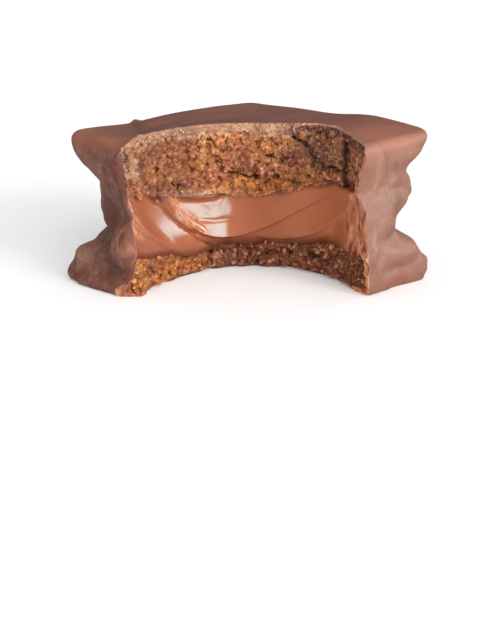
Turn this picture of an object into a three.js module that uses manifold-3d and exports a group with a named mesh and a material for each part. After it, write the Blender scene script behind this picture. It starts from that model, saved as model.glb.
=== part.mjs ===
// A square alfajor with one corner bitten away: two cocoa biscuits with a thick layer of
// chocolate hazelnut cream between them, dipped whole in milk chocolate.
//
// Millimetres, +Z up. The origin is under the middle of the biscuit, on the surface that it rests on.
// The sides face +X, -X, +Y and -Y, and the bitten corner is the one between +X and -Y.
// Places on the bite use two directions of their own: u runs along the bite from the -X -Y corner
// to the +X +Y corner, and w runs out of the middle through the missing corner.

import * as THREE from "three";
import { mergeVertices } from "three/addons/utils/BufferGeometryUtils.js";
import Module from "manifold-3d";

// ---- Driving dimensions ----

const HEIGHT = 32; // resting surface to the top of the coating
const SIDE_COAT = 1.3; // thickness of the chocolate on the sides
const TOP_COAT = 1.4; // on top
const BASE_COAT = 1.0; // underneath
const GAP = 0.35; // left free between neighbouring pieces
const TOP_EDGE = 2.0; // radius of the rounded edge between top and sides
const BASE_EDGE = 0.6; // radius of the edge of the foot

// The side's profile, from the foot up. face is the distance from the upright axis to the middle of
// a side, corner the distance to the tip of a corner. The lid and the foot stand out, and the cream
// between them leaves a waist that is deepest at the corners.
const PROFILE = [
  { z: 0, face: 28.3, corner: 38.6 },
  { z: 1.6, face: 28.5, corner: 39.0 },
  { z: 4, face: 28.0, corner: 37.4 },
  { z: 6.5, face: 27.6, corner: 35.3 },
  { z: 8.5, face: 27.2, corner: 32.4 },
  { z: 11, face: 26.9, corner: 29.9 },
  { z: 14.5, face: 26.8, corner: 31.6 },
  { z: 18.5, face: 26.8, corner: 32.4 },
  { z: 22.5, face: 26.9, corner: 32.5 },
  { z: 25.2, face: 27.1, corner: 35.0 },
  { z: 28, face: 27.4, corner: 36.5 },
  { z: 32, face: 27.4, corner: 37.0 },
];

// Single swellings (out > 0) and hollows (out < 0) of the coating. azimuth is in degrees round from
// +X, along and tall are the half sizes along the side and upwards, and out is the height of the relief.
const SWELLINGS = [
  { azimuth: 45, z: 28.0, along: 6, tall: 2.2, out: -0.9 }, // corner between +X and +Y, from the lid down
  { azimuth: 45, z: 24.9, along: 5, tall: 1.7, out: -3.1 }, // notch under the lid
  { azimuth: 45, z: 19.6, along: 5, tall: 3.0, out: 1.5 }, // bulge below it
  { azimuth: 45, z: 13.3, along: 4, tall: 1.7, out: -1.5 }, // waist
  { azimuth: 45, z: 8.4, along: 6, tall: 2.4, out: 2.4 }, // ledge of the foot
  { azimuth: 45, z: 4.2, along: 2.6, tall: 1.0, out: 0.9 }, // spur of set chocolate
  { azimuth: 45, z: 0.8, along: 7, tall: 1.3, out: -0.9 },
  { azimuth: 34, z: 16.0, along: 2.6, tall: 2.8, out: -1.6 }, // hollow beside that bulge
  { azimuth: 20, z: 0, along: 15, tall: 5, out: -1.9 }, // the foot is short on this side
  { azimuth: 12, z: 20, along: 5, tall: 5, out: -0.7 },
  { azimuth: 250, z: 25.5, along: 3.0, tall: 4.4, out: 0.9 }, // stands out left of the bite, under the lid
  { azimuth: 243.5, z: 20, along: 3.0, tall: 7, out: -1.6 }, // valley behind it
  { azimuth: 249, z: 16.2, along: 4.0, tall: 1.7, out: -1.3 }, // crease
  { azimuth: 249, z: 11.2, along: 4.0, tall: 3.2, out: 1.9 }, // roll of chocolate
  { azimuth: 248, z: 4.9, along: 4.0, tall: 1.4, out: -1.4 }, // crease under that roll
  { azimuth: 234, z: 0.4, along: 9, tall: 2.6, out: 0.9 }, // wide foot below it
  { azimuth: 225, z: 22.5, along: 5, tall: 3.0, out: -0.7 },
  { azimuth: 229, z: 17, along: 4, tall: 4, out: -0.6 },
  { azimuth: 222, z: 6.3, along: 3, tall: 1.5, out: 0.9 },
  { azimuth: 95, z: 17, along: 7, tall: 5, out: 1.7 }, // folds on the two sides away from the bite
  { azimuth: 73, z: 9.5, along: 5, tall: 3.4, out: -1.2 },
  { azimuth: 116, z: 20.5, along: 5, tall: 3, out: 1.2 },
  { azimuth: 118, z: 10, along: 4, tall: 3.4, out: 1.8 },
  { azimuth: 150, z: 18.5, along: 5.5, tall: 4.5, out: 1.6 },
  { azimuth: 166, z: 11.5, along: 6, tall: 3.6, out: 1.5 },
  { azimuth: 186, z: 20, along: 6, tall: 4, out: 1.4 },
  { azimuth: 205, z: 13.5, along: 4.6, tall: 4.4, out: 1.7 },
  { azimuth: 178, z: 5.5, along: 5, tall: 2.2, out: -1.0 },
  { azimuth: 190, z: 0.6, along: 24, tall: 2.6, out: -0.9 }, // the foot on this side is plainer
];

// The chocolate is thicker than SIDE_COAT beside the two ends of the bite, and a little thinner in its
// hollows.
const THICK_PLACES = [
  { azimuth: 252, z: 25, along: 9, tall: 6, extra: 0.4 },
  { azimuth: 250, z: 9, along: 7, tall: 5, extra: 0.6 },
  { azimuth: 16, z: 12, along: 7, tall: 8, extra: 2.4 },
];
const THINNING = 0.6;

// Heights between which a form fades in or out.
const FOOT_ENDS = [0.2, 3.2]; // the wavy foot
const WAIST_STARTS = [2, 7]; // the folds of the waist
const WAIST_ENDS = [21, 27];
const LID_STARTS = [HEIGHT - 6, HEIGHT]; // the unevenness of the top
const BITE_TURNS = [2, HEIGHT - 4]; // from the bite's outline at the foot to its outline at the lid
const WALL_STARTS = [1.5, 5]; // the straight break at the bite's left end

// Uneven forms made of smooth noise. size is the width of its lumps and height how far they stand out.
const FOLDS = { size: 8.5, height: 1.5, seed: 3 }; // of the thick chocolate round the waist
const FOLD_FLOOR = 0.35; // share of a fold's height that is taken off again, so the waist stays deep
const DIMPLES = { size: 3.6, height: 0.4, seed: 5 };
const SKIRT = [
  { size: 4.2, height: 0.55, seed: 7 }, // wavy edge of the foot
  { size: 1.9, height: 0.3, seed: 8 },
];
const UNEVEN_SIDE = { size: 5, height: 0.12, seed: 9 };
const UNEVEN_TOP = { size: 9, height: 0.16, seed: 11 };
const CRAGS = [
  { size: 3.4, height: 0.75, seed: 21 }, // of the torn biscuit
  { size: 1.7, height: 0.55, seed: 22 },
];
const CHIPS = { size: 2.6, height: 0.3, seed: 31 }; // of the broken edge of the chocolate

// Long low rises and hollows of the top, at (u, w).
const TOP_WAVES = [
  { u: 27, w: -9, size: 10, up: 1.0 },
  { u: -1, w: -35, size: 9, up: -0.55 },
  { u: -25, w: -8, size: 9, up: -0.7 },
  { u: -21, w: -9, size: 2.2, up: 0.55 },
  { u: 3, w: -22, size: 10, up: -0.25 },
  { u: -26.5, w: 13, size: 4.0, up: -2.0 }, // the lid droops left of the bite
];

// The bite. It is DEEPEST_W from the middle, and rises by BITE_RISE at each end of its arc. width is
// how far the arc reaches along u, and power how flat its middle is, at the lid and at the foot.
const DEEPEST_W = -7.2;
const BITE_RISE = 20;
const BITE_LEFT = { lidWidth: 25.8, lidPower: 2.6, footWidth: 22.3, footPower: 2.2 };
const BITE_RIGHT = { lidWidth: 21.7, lidPower: 6.5, footWidth: 23.8, footPower: 2.5 };
const LEFT_WALL = { foot: 22.3, lid: 24.8 }; // past this u the left end breaks off straight outwards
const OUTMOST_W = 22; // the arc goes no further out than this

// The cream's two faces sag in the middle. Heights in the middle and how much higher they are at RIM,
// past which they rise to HIGHEST times as much. Each is higher or lower in some places, at (u, w).
const RIM = 24;
const HIGHEST = 1.9;
const CREAM_FLOOR = {
  middle: 4.7,
  rise: 2.2,
  places: [
    { u: 17, w: -1, size: 5, up: 1.2 },
    { u: -14, w: -3, size: 4.5, up: -1.3 },
  ],
};
const CREAM_CEILING = {
  middle: 16.3,
  rise: 3.5,
  places: [
    { u: 17, w: -1, size: 9, up: 1.6 },
    { u: 0.5, w: -7, size: 4, up: -0.9 },
    { u: -8, w: -6, size: 4, up: 0.6 },
  ],
};

// How far each layer's bitten face lies behind the arc of the bite.
const SET_BACK = { coating: -0.2, biscuitLid: 0.3, cream: 1.1, biscuitBase: 0.1 };

// Tooth marks in the cream. Each is a ridge along a bent line from start over bend to end, all (u, z),
// that stands out by lift, falls away slowly above over reach, and drops at once below.
const TOOTH_MARKS = [
  { start: [-18.0, 17.5], bend: [-12.0, -5.0], end: [20.5, 19.0], lift: 2.0, reach: 6.0 },
  { start: [-1.0, 7.2], bend: [13.0, 2.5], end: [21.0, 18.5], lift: 1.1, reach: 3.4 },
  { start: [-23.8, 20.0], bend: [-22.0, 7.5], end: [-12.5, 4.0], lift: 1.2, reach: 3.4 },
];
const MARK_DROP = 0.7; // width of the drop below a ridge

// Fineness of the faceted surfaces
const COLUMNS = 80; // round the outside
const INNER_COLUMNS = 48; // round the inside
const SLAB_COLUMNS = 24; // round the faces between the layers
const SLAB_RADII = [0, 9, 17, 24, 30, 36, 46]; // the last is outside the coating
const SIDE_ROWS = 20;
const FACE_STEP = 1.3; // between points of the bitten biscuits
const CREAM_STEP = 1.4;
const RIM_STEP = 2.0;

// ---- Noise that is the same on every run ----

function cellValue(i, j, k, seed) {
  let h = Math.imul(i, 374761393) + Math.imul(j, 668265263);
  h = (h + Math.imul(k, 1274126177) + Math.imul(seed, 974634777)) | 0;
  h = Math.imul(h ^ (h >>> 13), 1274126177);
  return ((h ^ (h >>> 16)) >>> 0) / 4294967296;
}

const smooth = (t) => t * t * (3 - 2 * t);
const mix = (a, b, t) => a + (b - a) * t;
const clamp01 = (t) => Math.min(1, Math.max(0, t));
const ramp = (value, [start, end]) => smooth(clamp01((value - start) / (end - start)));

// Smooth noise at (x, y, z), from -height to height.
function noise({ size, height, seed }, x, y, z) {
  const [px, py, pz] = [x / size, y / size, z / size];
  const [i, j, k] = [Math.floor(px), Math.floor(py), Math.floor(pz)];
  const [a, b, c] = [smooth(px - i), smooth(py - j), smooth(pz - k)];
  const level = (dk) => {
    const row = (dj) =>
      mix(cellValue(i, j + dj, k + dk, seed), cellValue(i + 1, j + dj, k + dk, seed), a);
    return mix(row(0), row(1), b);
  };
  return height * (2 * mix(level(0), level(1), c) - 1);
}

// ---- The outer form ----

// A smooth curve through the stations of PROFILE.
function profileAt(z, key) {
  const last = PROFILE.length - 1;
  let i = 0;
  while (i < last - 1 && z > PROFILE[i + 1].z) i++;
  const slope = (n) => {
    const [lo, hi] = [Math.max(0, n - 1), Math.min(last, n + 1)];
    return (PROFILE[hi][key] - PROFILE[lo][key]) / (PROFILE[hi].z - PROFILE[lo].z);
  };
  const [p, q] = [PROFILE[i], PROFILE[i + 1]];
  const span = q.z - p.z;
  const t = clamp01((z - p.z) / span);
  const [t2, t3] = [t * t, t * t * t];
  return (
    (2 * t3 - 3 * t2 + 1) * p[key] +
    (t3 - 2 * t2 + t) * span * slope(i) +
    (3 * t2 - 2 * t3) * q[key] +
    (t3 - t2) * span * slope(i + 1)
  );
}

// Distance from the axis to a square with rounded corners, in the direction of angle.
function roundedSquare(angle, face, corner) {
  const [a, b] = [Math.abs(Math.cos(angle)), Math.abs(Math.sin(angle))];
  const [far, near] = [Math.max(a, b), Math.min(a, b)];
  const radius = (face * Math.SQRT2 - corner) / (Math.SQRT2 - 1);
  const straight = face - radius;
  if (near * face <= far * straight) return face / far;
  return straight * (far + near) + Math.sqrt(radius ** 2 - (straight * (far - near)) ** 2);
}

// How far the rounded edges at the top and the foot pull the side in.
function edgeInset(z) {
  const above = clamp01((z - (HEIGHT - TOP_EDGE)) / TOP_EDGE);
  const below = clamp01((BASE_EDGE - z) / BASE_EDGE);
  return TOP_EDGE * (1 - Math.sqrt(1 - above ** 2)) + BASE_EDGE * (1 - Math.sqrt(1 - below ** 2));
}

// How far round the side a place is from an azimuth.
function roundFrom(azimuth, angle, radius) {
  const turn = angle - THREE.MathUtils.degToRad(azimuth);
  return Math.atan2(Math.sin(turn), Math.cos(turn)) * radius;
}

// The lumps that thick chocolate sets in.
function coatingRelief(x, y, z, angle) {
  const radius = Math.hypot(x, y);
  let out = 0;
  for (const s of SWELLINGS) {
    const along = roundFrom(s.azimuth, angle, radius);
    out += s.out * Math.exp(-((along / s.along) ** 2) - ((z - s.z) / s.tall) ** 2);
  }
  const waist = ramp(z, WAIST_STARTS) * (1 - ramp(z, WAIST_ENDS));
  const folds = Math.abs(noise(FOLDS, x, y, z)) - FOLD_FLOOR * FOLDS.height;
  const foot = 1 - ramp(z, FOOT_ENDS);
  out += waist * (folds + noise(DIMPLES, x, y, z));
  out += foot * (noise(SKIRT[0], x, y, 0) + noise(SKIRT[1], x, y, 0));
  return out + noise(UNEVEN_SIDE, x, y, z);
}

// Sum of round rises and hollows, each at its own (u, w).
function waves(places, x, y) {
  const [u, w] = [(x + y) / Math.SQRT2, (x - y) / Math.SQRT2];
  let up = 0;
  for (const p of places) up += p.up * Math.exp(-((u - p.u) ** 2 + (w - p.w) ** 2) / p.size ** 2);
  return up;
}

const topRelief = (x, y) => noise(UNEVEN_TOP, x, y, 0) + waves(TOP_WAVES, x, y);

// ---- Closed surfaces ----

// A closed surface of revolution whose radius may change round the axis: rows run from the middle of
// the top, down the side and in to the middle of the underside. at(row, angle) gives a point.
function closedSurface(rows, columns, at) {
  const points = [at(0, 0)];
  for (let r = 1; r < rows; r++) {
    for (let c = 0; c < columns; c++) points.push(at(r, (c / columns) * 2 * Math.PI));
  }
  points.push(at(rows, 0));
  const faces = [];
  const ring = (r, c) => 1 + (r - 1) * columns + (c % columns);
  for (let c = 0; c < columns; c++) {
    faces.push(0, ring(1, c), ring(1, c + 1));
    for (let r = 1; r < rows - 1; r++) {
      faces.push(ring(r, c), ring(r + 1, c), ring(r + 1, c + 1));
      faces.push(ring(r, c), ring(r + 1, c + 1), ring(r, c + 1));
    }
    faces.push(ring(rows - 1, c), points.length - 1, ring(rows - 1, c + 1));
  }
  return { points, faces };
}

// Heights from top to bottom, close together at the two rounded edges.
function sideHeights(rows) {
  const heights = [1, 0.93, 0.75, 0.45].map((t) => HEIGHT - TOP_EDGE * (1 - t));
  const [high, low] = [HEIGHT - TOP_EDGE, BASE_EDGE];
  for (let i = 0; i <= rows; i++) heights.push(mix(high, low, i / rows));
  return [...heights, BASE_EDGE * 0.3, 0];
}

// The whole outside of the coating, without the bite.
function outside() {
  const heights = sideHeights(SIDE_ROWS);
  const lidRings = [0.22, 0.42, 0.6, 0.76, 0.89];
  const baseRings = [0.85, 0.5];
  const sideEnd = lidRings.length + heights.length;
  return closedSurface(sideEnd + baseRings.length + 1, COLUMNS, (row, angle) => {
    const side = Math.min(Math.max(row - 1 - lidRings.length, 0), heights.length - 1);
    const z = heights[side];
    let share = 1;
    if (row <= lidRings.length) share = row === 0 ? 0 : lidRings[row - 1];
    if (row > sideEnd) share = baseRings[row - 1 - sideEnd] ?? 0;
    const inset = edgeInset(z);
    const plain = roundedSquare(angle, profileAt(z, "face") - inset, profileAt(z, "corner") - inset);
    const [dx, dy] = [Math.cos(angle), Math.sin(angle)];
    const radius = share * (plain + coatingRelief(plain * dx, plain * dy, z, angle));
    const [x, y] = [radius * dx, radius * dy];
    return [x, y, z + ramp(z, LID_STARTS) * topRelief(x, y)];
  });
}

// The form inside the coating. It stays inset behind the plain outer form and behind the coating's
// hollows, and its ends move with inset, so two such forms keep an even gap all round.
function inside(inset) {
  const shift = inset - SIDE_COAT;
  const [top, bottom] = [HEIGHT - TOP_COAT - shift, BASE_COAT + shift];
  const lidRings = [0.4, 0.7, 0.9];
  const edge = [1, 0.75, 0.4].map((t) => top - TOP_EDGE * (1 - t));
  const side = [...Array(SIDE_ROWS)].map((_, i) => mix(top - TOP_EDGE, bottom, i / (SIDE_ROWS - 1)));
  const heights = [...lidRings.map(() => top), ...edge, ...side];
  return closedSurface(heights.length + 1, INNER_COLUMNS, (row, angle) => {
    const z = heights[Math.min(Math.max(row - 1, 0), heights.length - 1)];
    const [dx, dy] = [Math.cos(angle), Math.sin(angle)];
    const [face, corner] = [profileAt(z, "face"), profileAt(z, "corner")];
    const plain = roundedSquare(angle, face, corner);
    const behind = inset + edgeInset(Math.min(z + TOP_COAT + shift, HEIGHT));
    const dent = Math.min(0, coatingRelief(plain * dx, plain * dy, z, angle) + THINNING);
    let radius = roundedSquare(angle, face - behind, corner - behind) + dent;
    for (const t of THICK_PLACES) {
      const away = (roundFrom(t.azimuth, angle, plain) / t.along) ** 2 + ((z - t.z) / t.tall) ** 2;
      radius -= t.extra * Math.exp(-away);
    }
    if (row === 0 || row > heights.length) radius = 0;
    else radius *= lidRings[row - 1] ?? 1;
    const [x, y] = [radius * dx, radius * dy];
    return [x, y, z + ramp(z, LID_STARTS) * Math.min(0, topRelief(x, y))];
  });
}

// Everything between two sagging faces, out past the coating.
function slab(low, high) {
  const rings = SLAB_RADII.length;
  return closedSurface(2 * rings - 1, SLAB_COLUMNS, (row, angle) => {
    const radius = SLAB_RADII[row] ?? SLAB_RADII[2 * rings - 1 - row];
    const [x, y] = [radius * Math.cos(angle), radius * Math.sin(angle)];
    return [x, y, (row < rings ? high : low)(x, y)];
  });
}

const level = (z) => () => z;

// One face of the cream, moved up by shift.
const creamFace = (face, shift) => (x, y) =>
  face.middle +
  shift +
  face.rise * Math.min((x * x + y * y) / RIM ** 2, HIGHEST) +
  waves(face.places, x, y);

// ---- The bite ----

function biteArc(u, z) {
  const side = u < 0 ? BITE_LEFT : BITE_RIGHT;
  const lid = ramp(z, BITE_TURNS);
  const width = mix(side.footWidth, side.lidWidth, lid);
  const power = mix(side.footPower, side.lidPower, lid);
  const wall = u < 0 ? mix(LEFT_WALL.foot, LEFT_WALL.lid, lid) : Infinity;
  const arc = DEEPEST_W + BITE_RISE * (Math.min(Math.abs(u), wall) / width) ** power;
  const beyond = ramp(z, WALL_STARTS) * Math.max(Math.abs(u) - wall, 0);
  return Math.min(arc + beyond, OUTMOST_W);
}

// Torn crumb: coarse crags with smaller ones on them.
function crumbRelief(u, z) {
  return noise(CRAGS[0], u, 0, z) + noise(CRAGS[1], u, 0, z);
}

// Signed distance from a bent line, positive above it, and the place along it from 0 to 1.
function besideLine(mark, u, z) {
  let best = { distance: Infinity, t: 0, above: 1 };
  const steps = 24;
  for (let i = 0; i <= steps; i++) {
    const t = i / steps;
    const point = [0, 1].map(
      (n) => (1 - t) ** 2 * mark.start[n] + 2 * t * (1 - t) * mark.bend[n] + t * t * mark.end[n],
    );
    const run = [0, 1].map(
      (n) => (1 - t) * (mark.bend[n] - mark.start[n]) + t * (mark.end[n] - mark.bend[n]),
    );
    const [du, dz] = [u - point[0], z - point[1]];
    const distance = Math.hypot(du, dz);
    if (distance < best.distance) {
      best = { distance, t, above: Math.sign(run[0] * dz - run[1] * du) || 1 };
    }
  }
  return best;
}

// Smooth scoops in the cream that end in thin ridges.
function creamRelief(u, z) {
  let out = 0;
  for (const mark of TOOTH_MARKS) {
    const { distance, t, above } = besideLine(mark, u, z);
    const fade = Math.sin(Math.PI * mix(0.12, 0.9, t));
    const fall = above > 0 ? Math.exp(-distance / (0.45 * mark.reach)) : Math.exp(-distance / MARK_DROP);
    out += mark.lift * fade * fall;
  }
  return out;
}

// The solid to take away: everything in front of the bitten face of one layer.
function biteCutter(step, setBack, relief) {
  const [left, right, bottom, top, front] = [-33, 33, -2, HEIGHT + 3, 60];
  const columns = Math.round((right - left) / step);
  const rows = Math.round((top - bottom) / step);
  const points = [];
  const place = (u, w, z) => points.push([(u + w) / Math.SQRT2, (u - w) / Math.SQRT2, z]);
  for (const back of [true, false]) {
    for (let r = 0; r <= rows; r++) {
      for (let c = 0; c <= columns; c++) {
        const [u, z] = [mix(left, right, c / columns), mix(bottom, top, r / rows)];
        place(u, back ? biteArc(u, z) - setBack + relief(u, z) : front, z);
      }
    }
  }
  const sheet = (columns + 1) * (rows + 1);
  const id = (back, c, r) => (back ? 0 : sheet) + r * (columns + 1) + c;
  const faces = [];
  const quad = (a, b, c, d) => faces.push(a, b, c, a, c, d);
  for (let r = 0; r < rows; r++) {
    for (let c = 0; c < columns; c++) {
      quad(id(1, c, r), id(1, c, r + 1), id(1, c + 1, r + 1), id(1, c + 1, r));
      quad(id(0, c, r), id(0, c + 1, r), id(0, c + 1, r + 1), id(0, c, r + 1));
    }
  }
  for (let c = 0; c < columns; c++) {
    quad(id(1, c, 0), id(1, c + 1, 0), id(0, c + 1, 0), id(0, c, 0));
    quad(id(1, c + 1, rows), id(1, c, rows), id(0, c, rows), id(0, c + 1, rows));
  }
  for (let r = 0; r < rows; r++) {
    quad(id(1, 0, r + 1), id(1, 0, r), id(0, 0, r), id(0, 0, r + 1));
    quad(id(1, columns, r), id(1, columns, r + 1), id(0, columns, r + 1), id(0, columns, r));
  }
  return { points, faces };
}

// ---- Cutting, and the pieces ----

const wasm = await Module();
wasm.setup();

function solid({ points, faces }) {
  const geometry = new THREE.BufferGeometry();
  geometry.setAttribute("position", new THREE.Float32BufferAttribute(points.flat(), 3));
  geometry.setIndex(faces);
  const merged = mergeVertices(geometry);
  const made = new wasm.Manifold(
    new wasm.Mesh({
      numProp: 3,
      vertProperties: merged.attributes.position.array,
      triVerts: new Uint32Array(merged.index.array),
    }),
  );
  return made;
}

function largestPiece(shape) {
  return shape.decompose().reduce((a, b) => (b.volume() > a.volume() ? b : a));
}

function meshOf(shape, name, material) {
  const data = largestPiece(shape).getMesh();
  const geometry = new THREE.BufferGeometry();
  geometry.setAttribute("position", new THREE.BufferAttribute(data.vertProperties, 3));
  geometry.setIndex(new THREE.BufferAttribute(data.triVerts, 1));
  geometry.computeVertexNormals();
  const mesh = new THREE.Mesh(geometry, material);
  mesh.name = name;
  return mesh;
}

const CHOCOLATE = new THREE.MeshStandardMaterial({ color: 0x83564a, roughness: 0.42, metalness: 0 });
const BISCUIT = new THREE.MeshStandardMaterial({ color: 0x9a6342, roughness: 0.95, metalness: 0 });
const CREAM = new THREE.MeshStandardMaterial({ color: 0xa9623f, roughness: 0.25, metalness: 0 });

function coating() {
  const bite = biteCutter(RIM_STEP, SET_BACK.coating, (u, z) => noise(CHIPS, u, 0, z));
  return solid(outside()).subtract(solid(inside(SIDE_COAT))).subtract(solid(bite));
}

// What fills the coating between two faces, bitten off at the front.
function filling(low, high, bite) {
  return solid(inside(SIDE_COAT + GAP)).intersect(solid(slab(low, high))).subtract(solid(bite));
}

function biscuitLid() {
  const bite = biteCutter(FACE_STEP, SET_BACK.biscuitLid, crumbRelief);
  return filling(creamFace(CREAM_CEILING, GAP / 2), level(HEIGHT + 1), bite);
}

function cream() {
  const bite = biteCutter(CREAM_STEP, SET_BACK.cream, creamRelief);
  return filling(creamFace(CREAM_FLOOR, GAP / 2), creamFace(CREAM_CEILING, -GAP / 2), bite);
}

function biscuitBase() {
  const bite = biteCutter(FACE_STEP, SET_BACK.biscuitBase, crumbRelief);
  return filling(level(-1), creamFace(CREAM_FLOOR, -GAP / 2), bite);
}

const alfajor = new THREE.Group();
alfajor.add(
  meshOf(coating(), "coating", CHOCOLATE),
  meshOf(biscuitLid(), "biscuit_lid", BISCUIT),
  meshOf(cream(), "cream", CREAM),
  meshOf(biscuitBase(), "biscuit_base", BISCUIT),
);

export default alfajor;
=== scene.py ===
# %% [markdown]
# # A bitten alfajor
# A square alfajor: two cocoa biscuits with a thick layer of chocolate hazelnut cream between them,
# dipped whole in milk chocolate. One corner has been bitten away, so every layer shows.
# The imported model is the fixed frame: it says where each layer is. Each layer is remade here as a
# finer mesh of the same form, because the torn crumb, the tooth marks and the wrinkled chocolate
# need far more faces than a solid for collision can have.

# %% Load the frame
from collections import namedtuple
from math import cos, pi, radians, sin, sqrt

import bpy
import numpy as np
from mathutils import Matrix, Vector


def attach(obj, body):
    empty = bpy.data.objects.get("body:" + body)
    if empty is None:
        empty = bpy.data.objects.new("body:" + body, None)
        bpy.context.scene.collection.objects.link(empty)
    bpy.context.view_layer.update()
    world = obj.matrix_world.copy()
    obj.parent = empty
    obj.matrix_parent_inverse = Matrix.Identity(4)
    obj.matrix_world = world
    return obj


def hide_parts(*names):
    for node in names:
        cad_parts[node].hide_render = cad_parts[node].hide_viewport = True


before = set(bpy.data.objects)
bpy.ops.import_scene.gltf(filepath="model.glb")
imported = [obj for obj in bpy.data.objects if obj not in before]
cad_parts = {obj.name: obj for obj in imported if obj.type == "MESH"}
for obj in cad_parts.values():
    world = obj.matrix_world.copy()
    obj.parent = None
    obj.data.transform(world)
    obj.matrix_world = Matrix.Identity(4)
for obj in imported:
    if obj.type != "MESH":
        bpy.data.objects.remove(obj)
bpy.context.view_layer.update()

# %% [markdown]
# ## Camera
# The photograph looks at the missing corner from a little above, from 25 cm away. All forms below
# are written in millimetres and become metres when a mesh is made. Two directions of their own are
# used on the bite: u runs along it from the -X -Y corner to the +X +Y corner, which is to the right
# in the picture, and w runs out of the middle through the missing corner, towards the camera.

# %% Camera
MM = 0.001
ROOT2 = sqrt(2)


def from_bite(u, w, z):
    """A place in x, y and z from its u, w and z."""
    return (u + w) / ROOT2, (u - w) / ROOT2, z


def to_bite(x, y):
    """The u and w of a place."""
    return (x + y) / ROOT2, (x - y) / ROOT2


CAMERA_DISTANCE = 252
CAMERA_RISE = radians(19.9)
CAMERA_AIM = (0, 0, -8.1)
FOCAL_LENGTH = 66.7  # with a 36 mm wide sensor

scene = bpy.context.scene
camera = bpy.data.objects.new("camera", bpy.data.cameras.new("camera"))
scene.collection.objects.link(camera)
scene.camera = camera
camera.data.lens = FOCAL_LENGTH
camera.data.clip_start = 0.01
aim = Vector(CAMERA_AIM) * MM
away = Vector(from_bite(0, cos(CAMERA_RISE), sin(CAMERA_RISE)))
camera.location = aim + away * CAMERA_DISTANCE * MM
camera.rotation_euler = (aim - camera.location).to_track_quat("-Z", "Y").to_euler()
print("camera at", [round(v, 4) for v in camera.location])

# %% [markdown]
# ## Rules of the form
# The same few sizes and rules give the solids of the frame. The side's profile is a list of
# stations, a smooth curve runs through them, and lumps are added to it: single swellings that are
# listed one by one, and uneven ones that come from noise. A formula is better than sculpting here,
# because every layer can ask it where the outside is.

# %% Sizes
HEIGHT = 32
HALF_WAY = HEIGHT / 2
SIDE_COAT = 1.3  # thickness of the chocolate on the sides
TOP_COAT = 1.4
BASE_COAT = 1.0
TOP_EDGE = 2.0  # radius of the rounded edge between top and sides
BASE_EDGE = 0.6

# height, distance to the middle of a side, distance to the tip of a corner
PROFILE = np.array([
    (0, 28.3, 38.6), (1.6, 28.5, 39.0), (4, 28.0, 37.4), (6.5, 27.6, 35.3), (8.5, 27.2, 32.4),
    (11, 26.9, 29.9), (14.5, 26.8, 31.6), (18.5, 26.8, 32.4), (22.5, 26.9, 32.5), (25.2, 27.1, 35.0),
    (28, 27.4, 36.5), (32, 27.4, 37.0),
])
FACE, CORNER = 1, 2

# azimuth in degrees, height, half size along the side, half size upwards, how far it stands out
SWELLINGS = [
    (45, 28.0, 6, 2.2, -0.9),  # the corner between +X and +Y, from the lid down
    (45, 24.9, 5, 1.7, -3.1),  # notch under the lid
    (45, 19.6, 5, 3.0, 1.5),  # bulge below it
    (45, 13.3, 4, 1.7, -1.5),  # waist
    (45, 8.4, 6, 2.4, 2.4),  # ledge of the foot
    (45, 4.2, 2.6, 1.0, 0.9),  # spur of set chocolate
    (45, 0.8, 7, 1.3, -0.9),
    (34, 16.0, 2.6, 2.8, -1.6),  # hollow beside the bulge
    (20, 0, 15, 5, -1.9),  # the foot is short on this side
    (12, 20, 5, 5, -0.7),
    (250, 25.5, 3.0, 4.4, 0.9),  # chocolate that stands out left of the bite, from the lid down
    (243.5, 20, 3.0, 7, -1.6),  # valley behind it
    (249, 16.2, 4.0, 1.7, -1.3),  # crease
    (249, 11.2, 4.0, 3.2, 1.9),  # roll of chocolate
    (248, 4.9, 4.0, 1.4, -1.4),  # crease under that roll
    (234, 0.4, 9, 2.6, 0.9),  # wide foot below it
    (225, 22.5, 5, 3.0, -0.7),
    (229, 17, 4, 4, -0.6),
    (222, 6.3, 3, 1.5, 0.9),
    (95, 17, 7, 5, 1.7),  # folds on the two sides away from the bite
    (73, 9.5, 5, 3.4, -1.2),
    (116, 20.5, 5, 3, 1.2),
    (118, 10, 4, 3.4, 1.8),
    (150, 18.5, 5.5, 4.5, 1.6),
    (166, 11.5, 6, 3.6, 1.5),
    (186, 20, 6, 4, 1.4),
    (205, 13.5, 4.6, 4.4, 1.7),
    (178, 5.5, 5, 2.2, -1.0),
    (190, 0.6, 24, 2.6, -0.9),  # the foot on this side is plainer
]
# where the chocolate is thicker: azimuth, height, half size along the side, half size upwards, extra
THICK_PLACES = [(252, 25, 9, 6, 0.4), (250, 9, 7, 5, 0.6), (16, 12, 7, 8, 2.4)]
THINNING = 0.6  # how much thinner it may be in its hollows

# u, w, half size and height of the long waves of the top
TOP_WAVES = [
    (27, -9, 10, 1.0), (-1, -35, 9, -0.55), (-25, -8, 9, -0.7), (-21, -9, 2.2, 0.55), (3, -22, 10, -0.25),
    (-26.5, 13, 4.0, -2.0), (-25.0, -12.4, 1.0, 0.65),
]

Lumps = namedtuple("Lumps", "size height seed")
FOLDS = Lumps(8.5, 1.5, 3)
FOLD_FLOOR = 0.35
DIMPLES = Lumps(3.6, 0.4, 5)
SKIRT = [Lumps(4.2, 0.55, 7), Lumps(1.9, 0.3, 8)]
UNEVEN_SIDE = Lumps(5, 0.12, 9)
UNEVEN_TOP = Lumps(9, 0.16, 11)
CRAGS = [Lumps(3.4, 0.75, 21), Lumps(1.7, 0.55, 22)]
CHIPS = Lumps(2.6, 0.3, 31)

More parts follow.
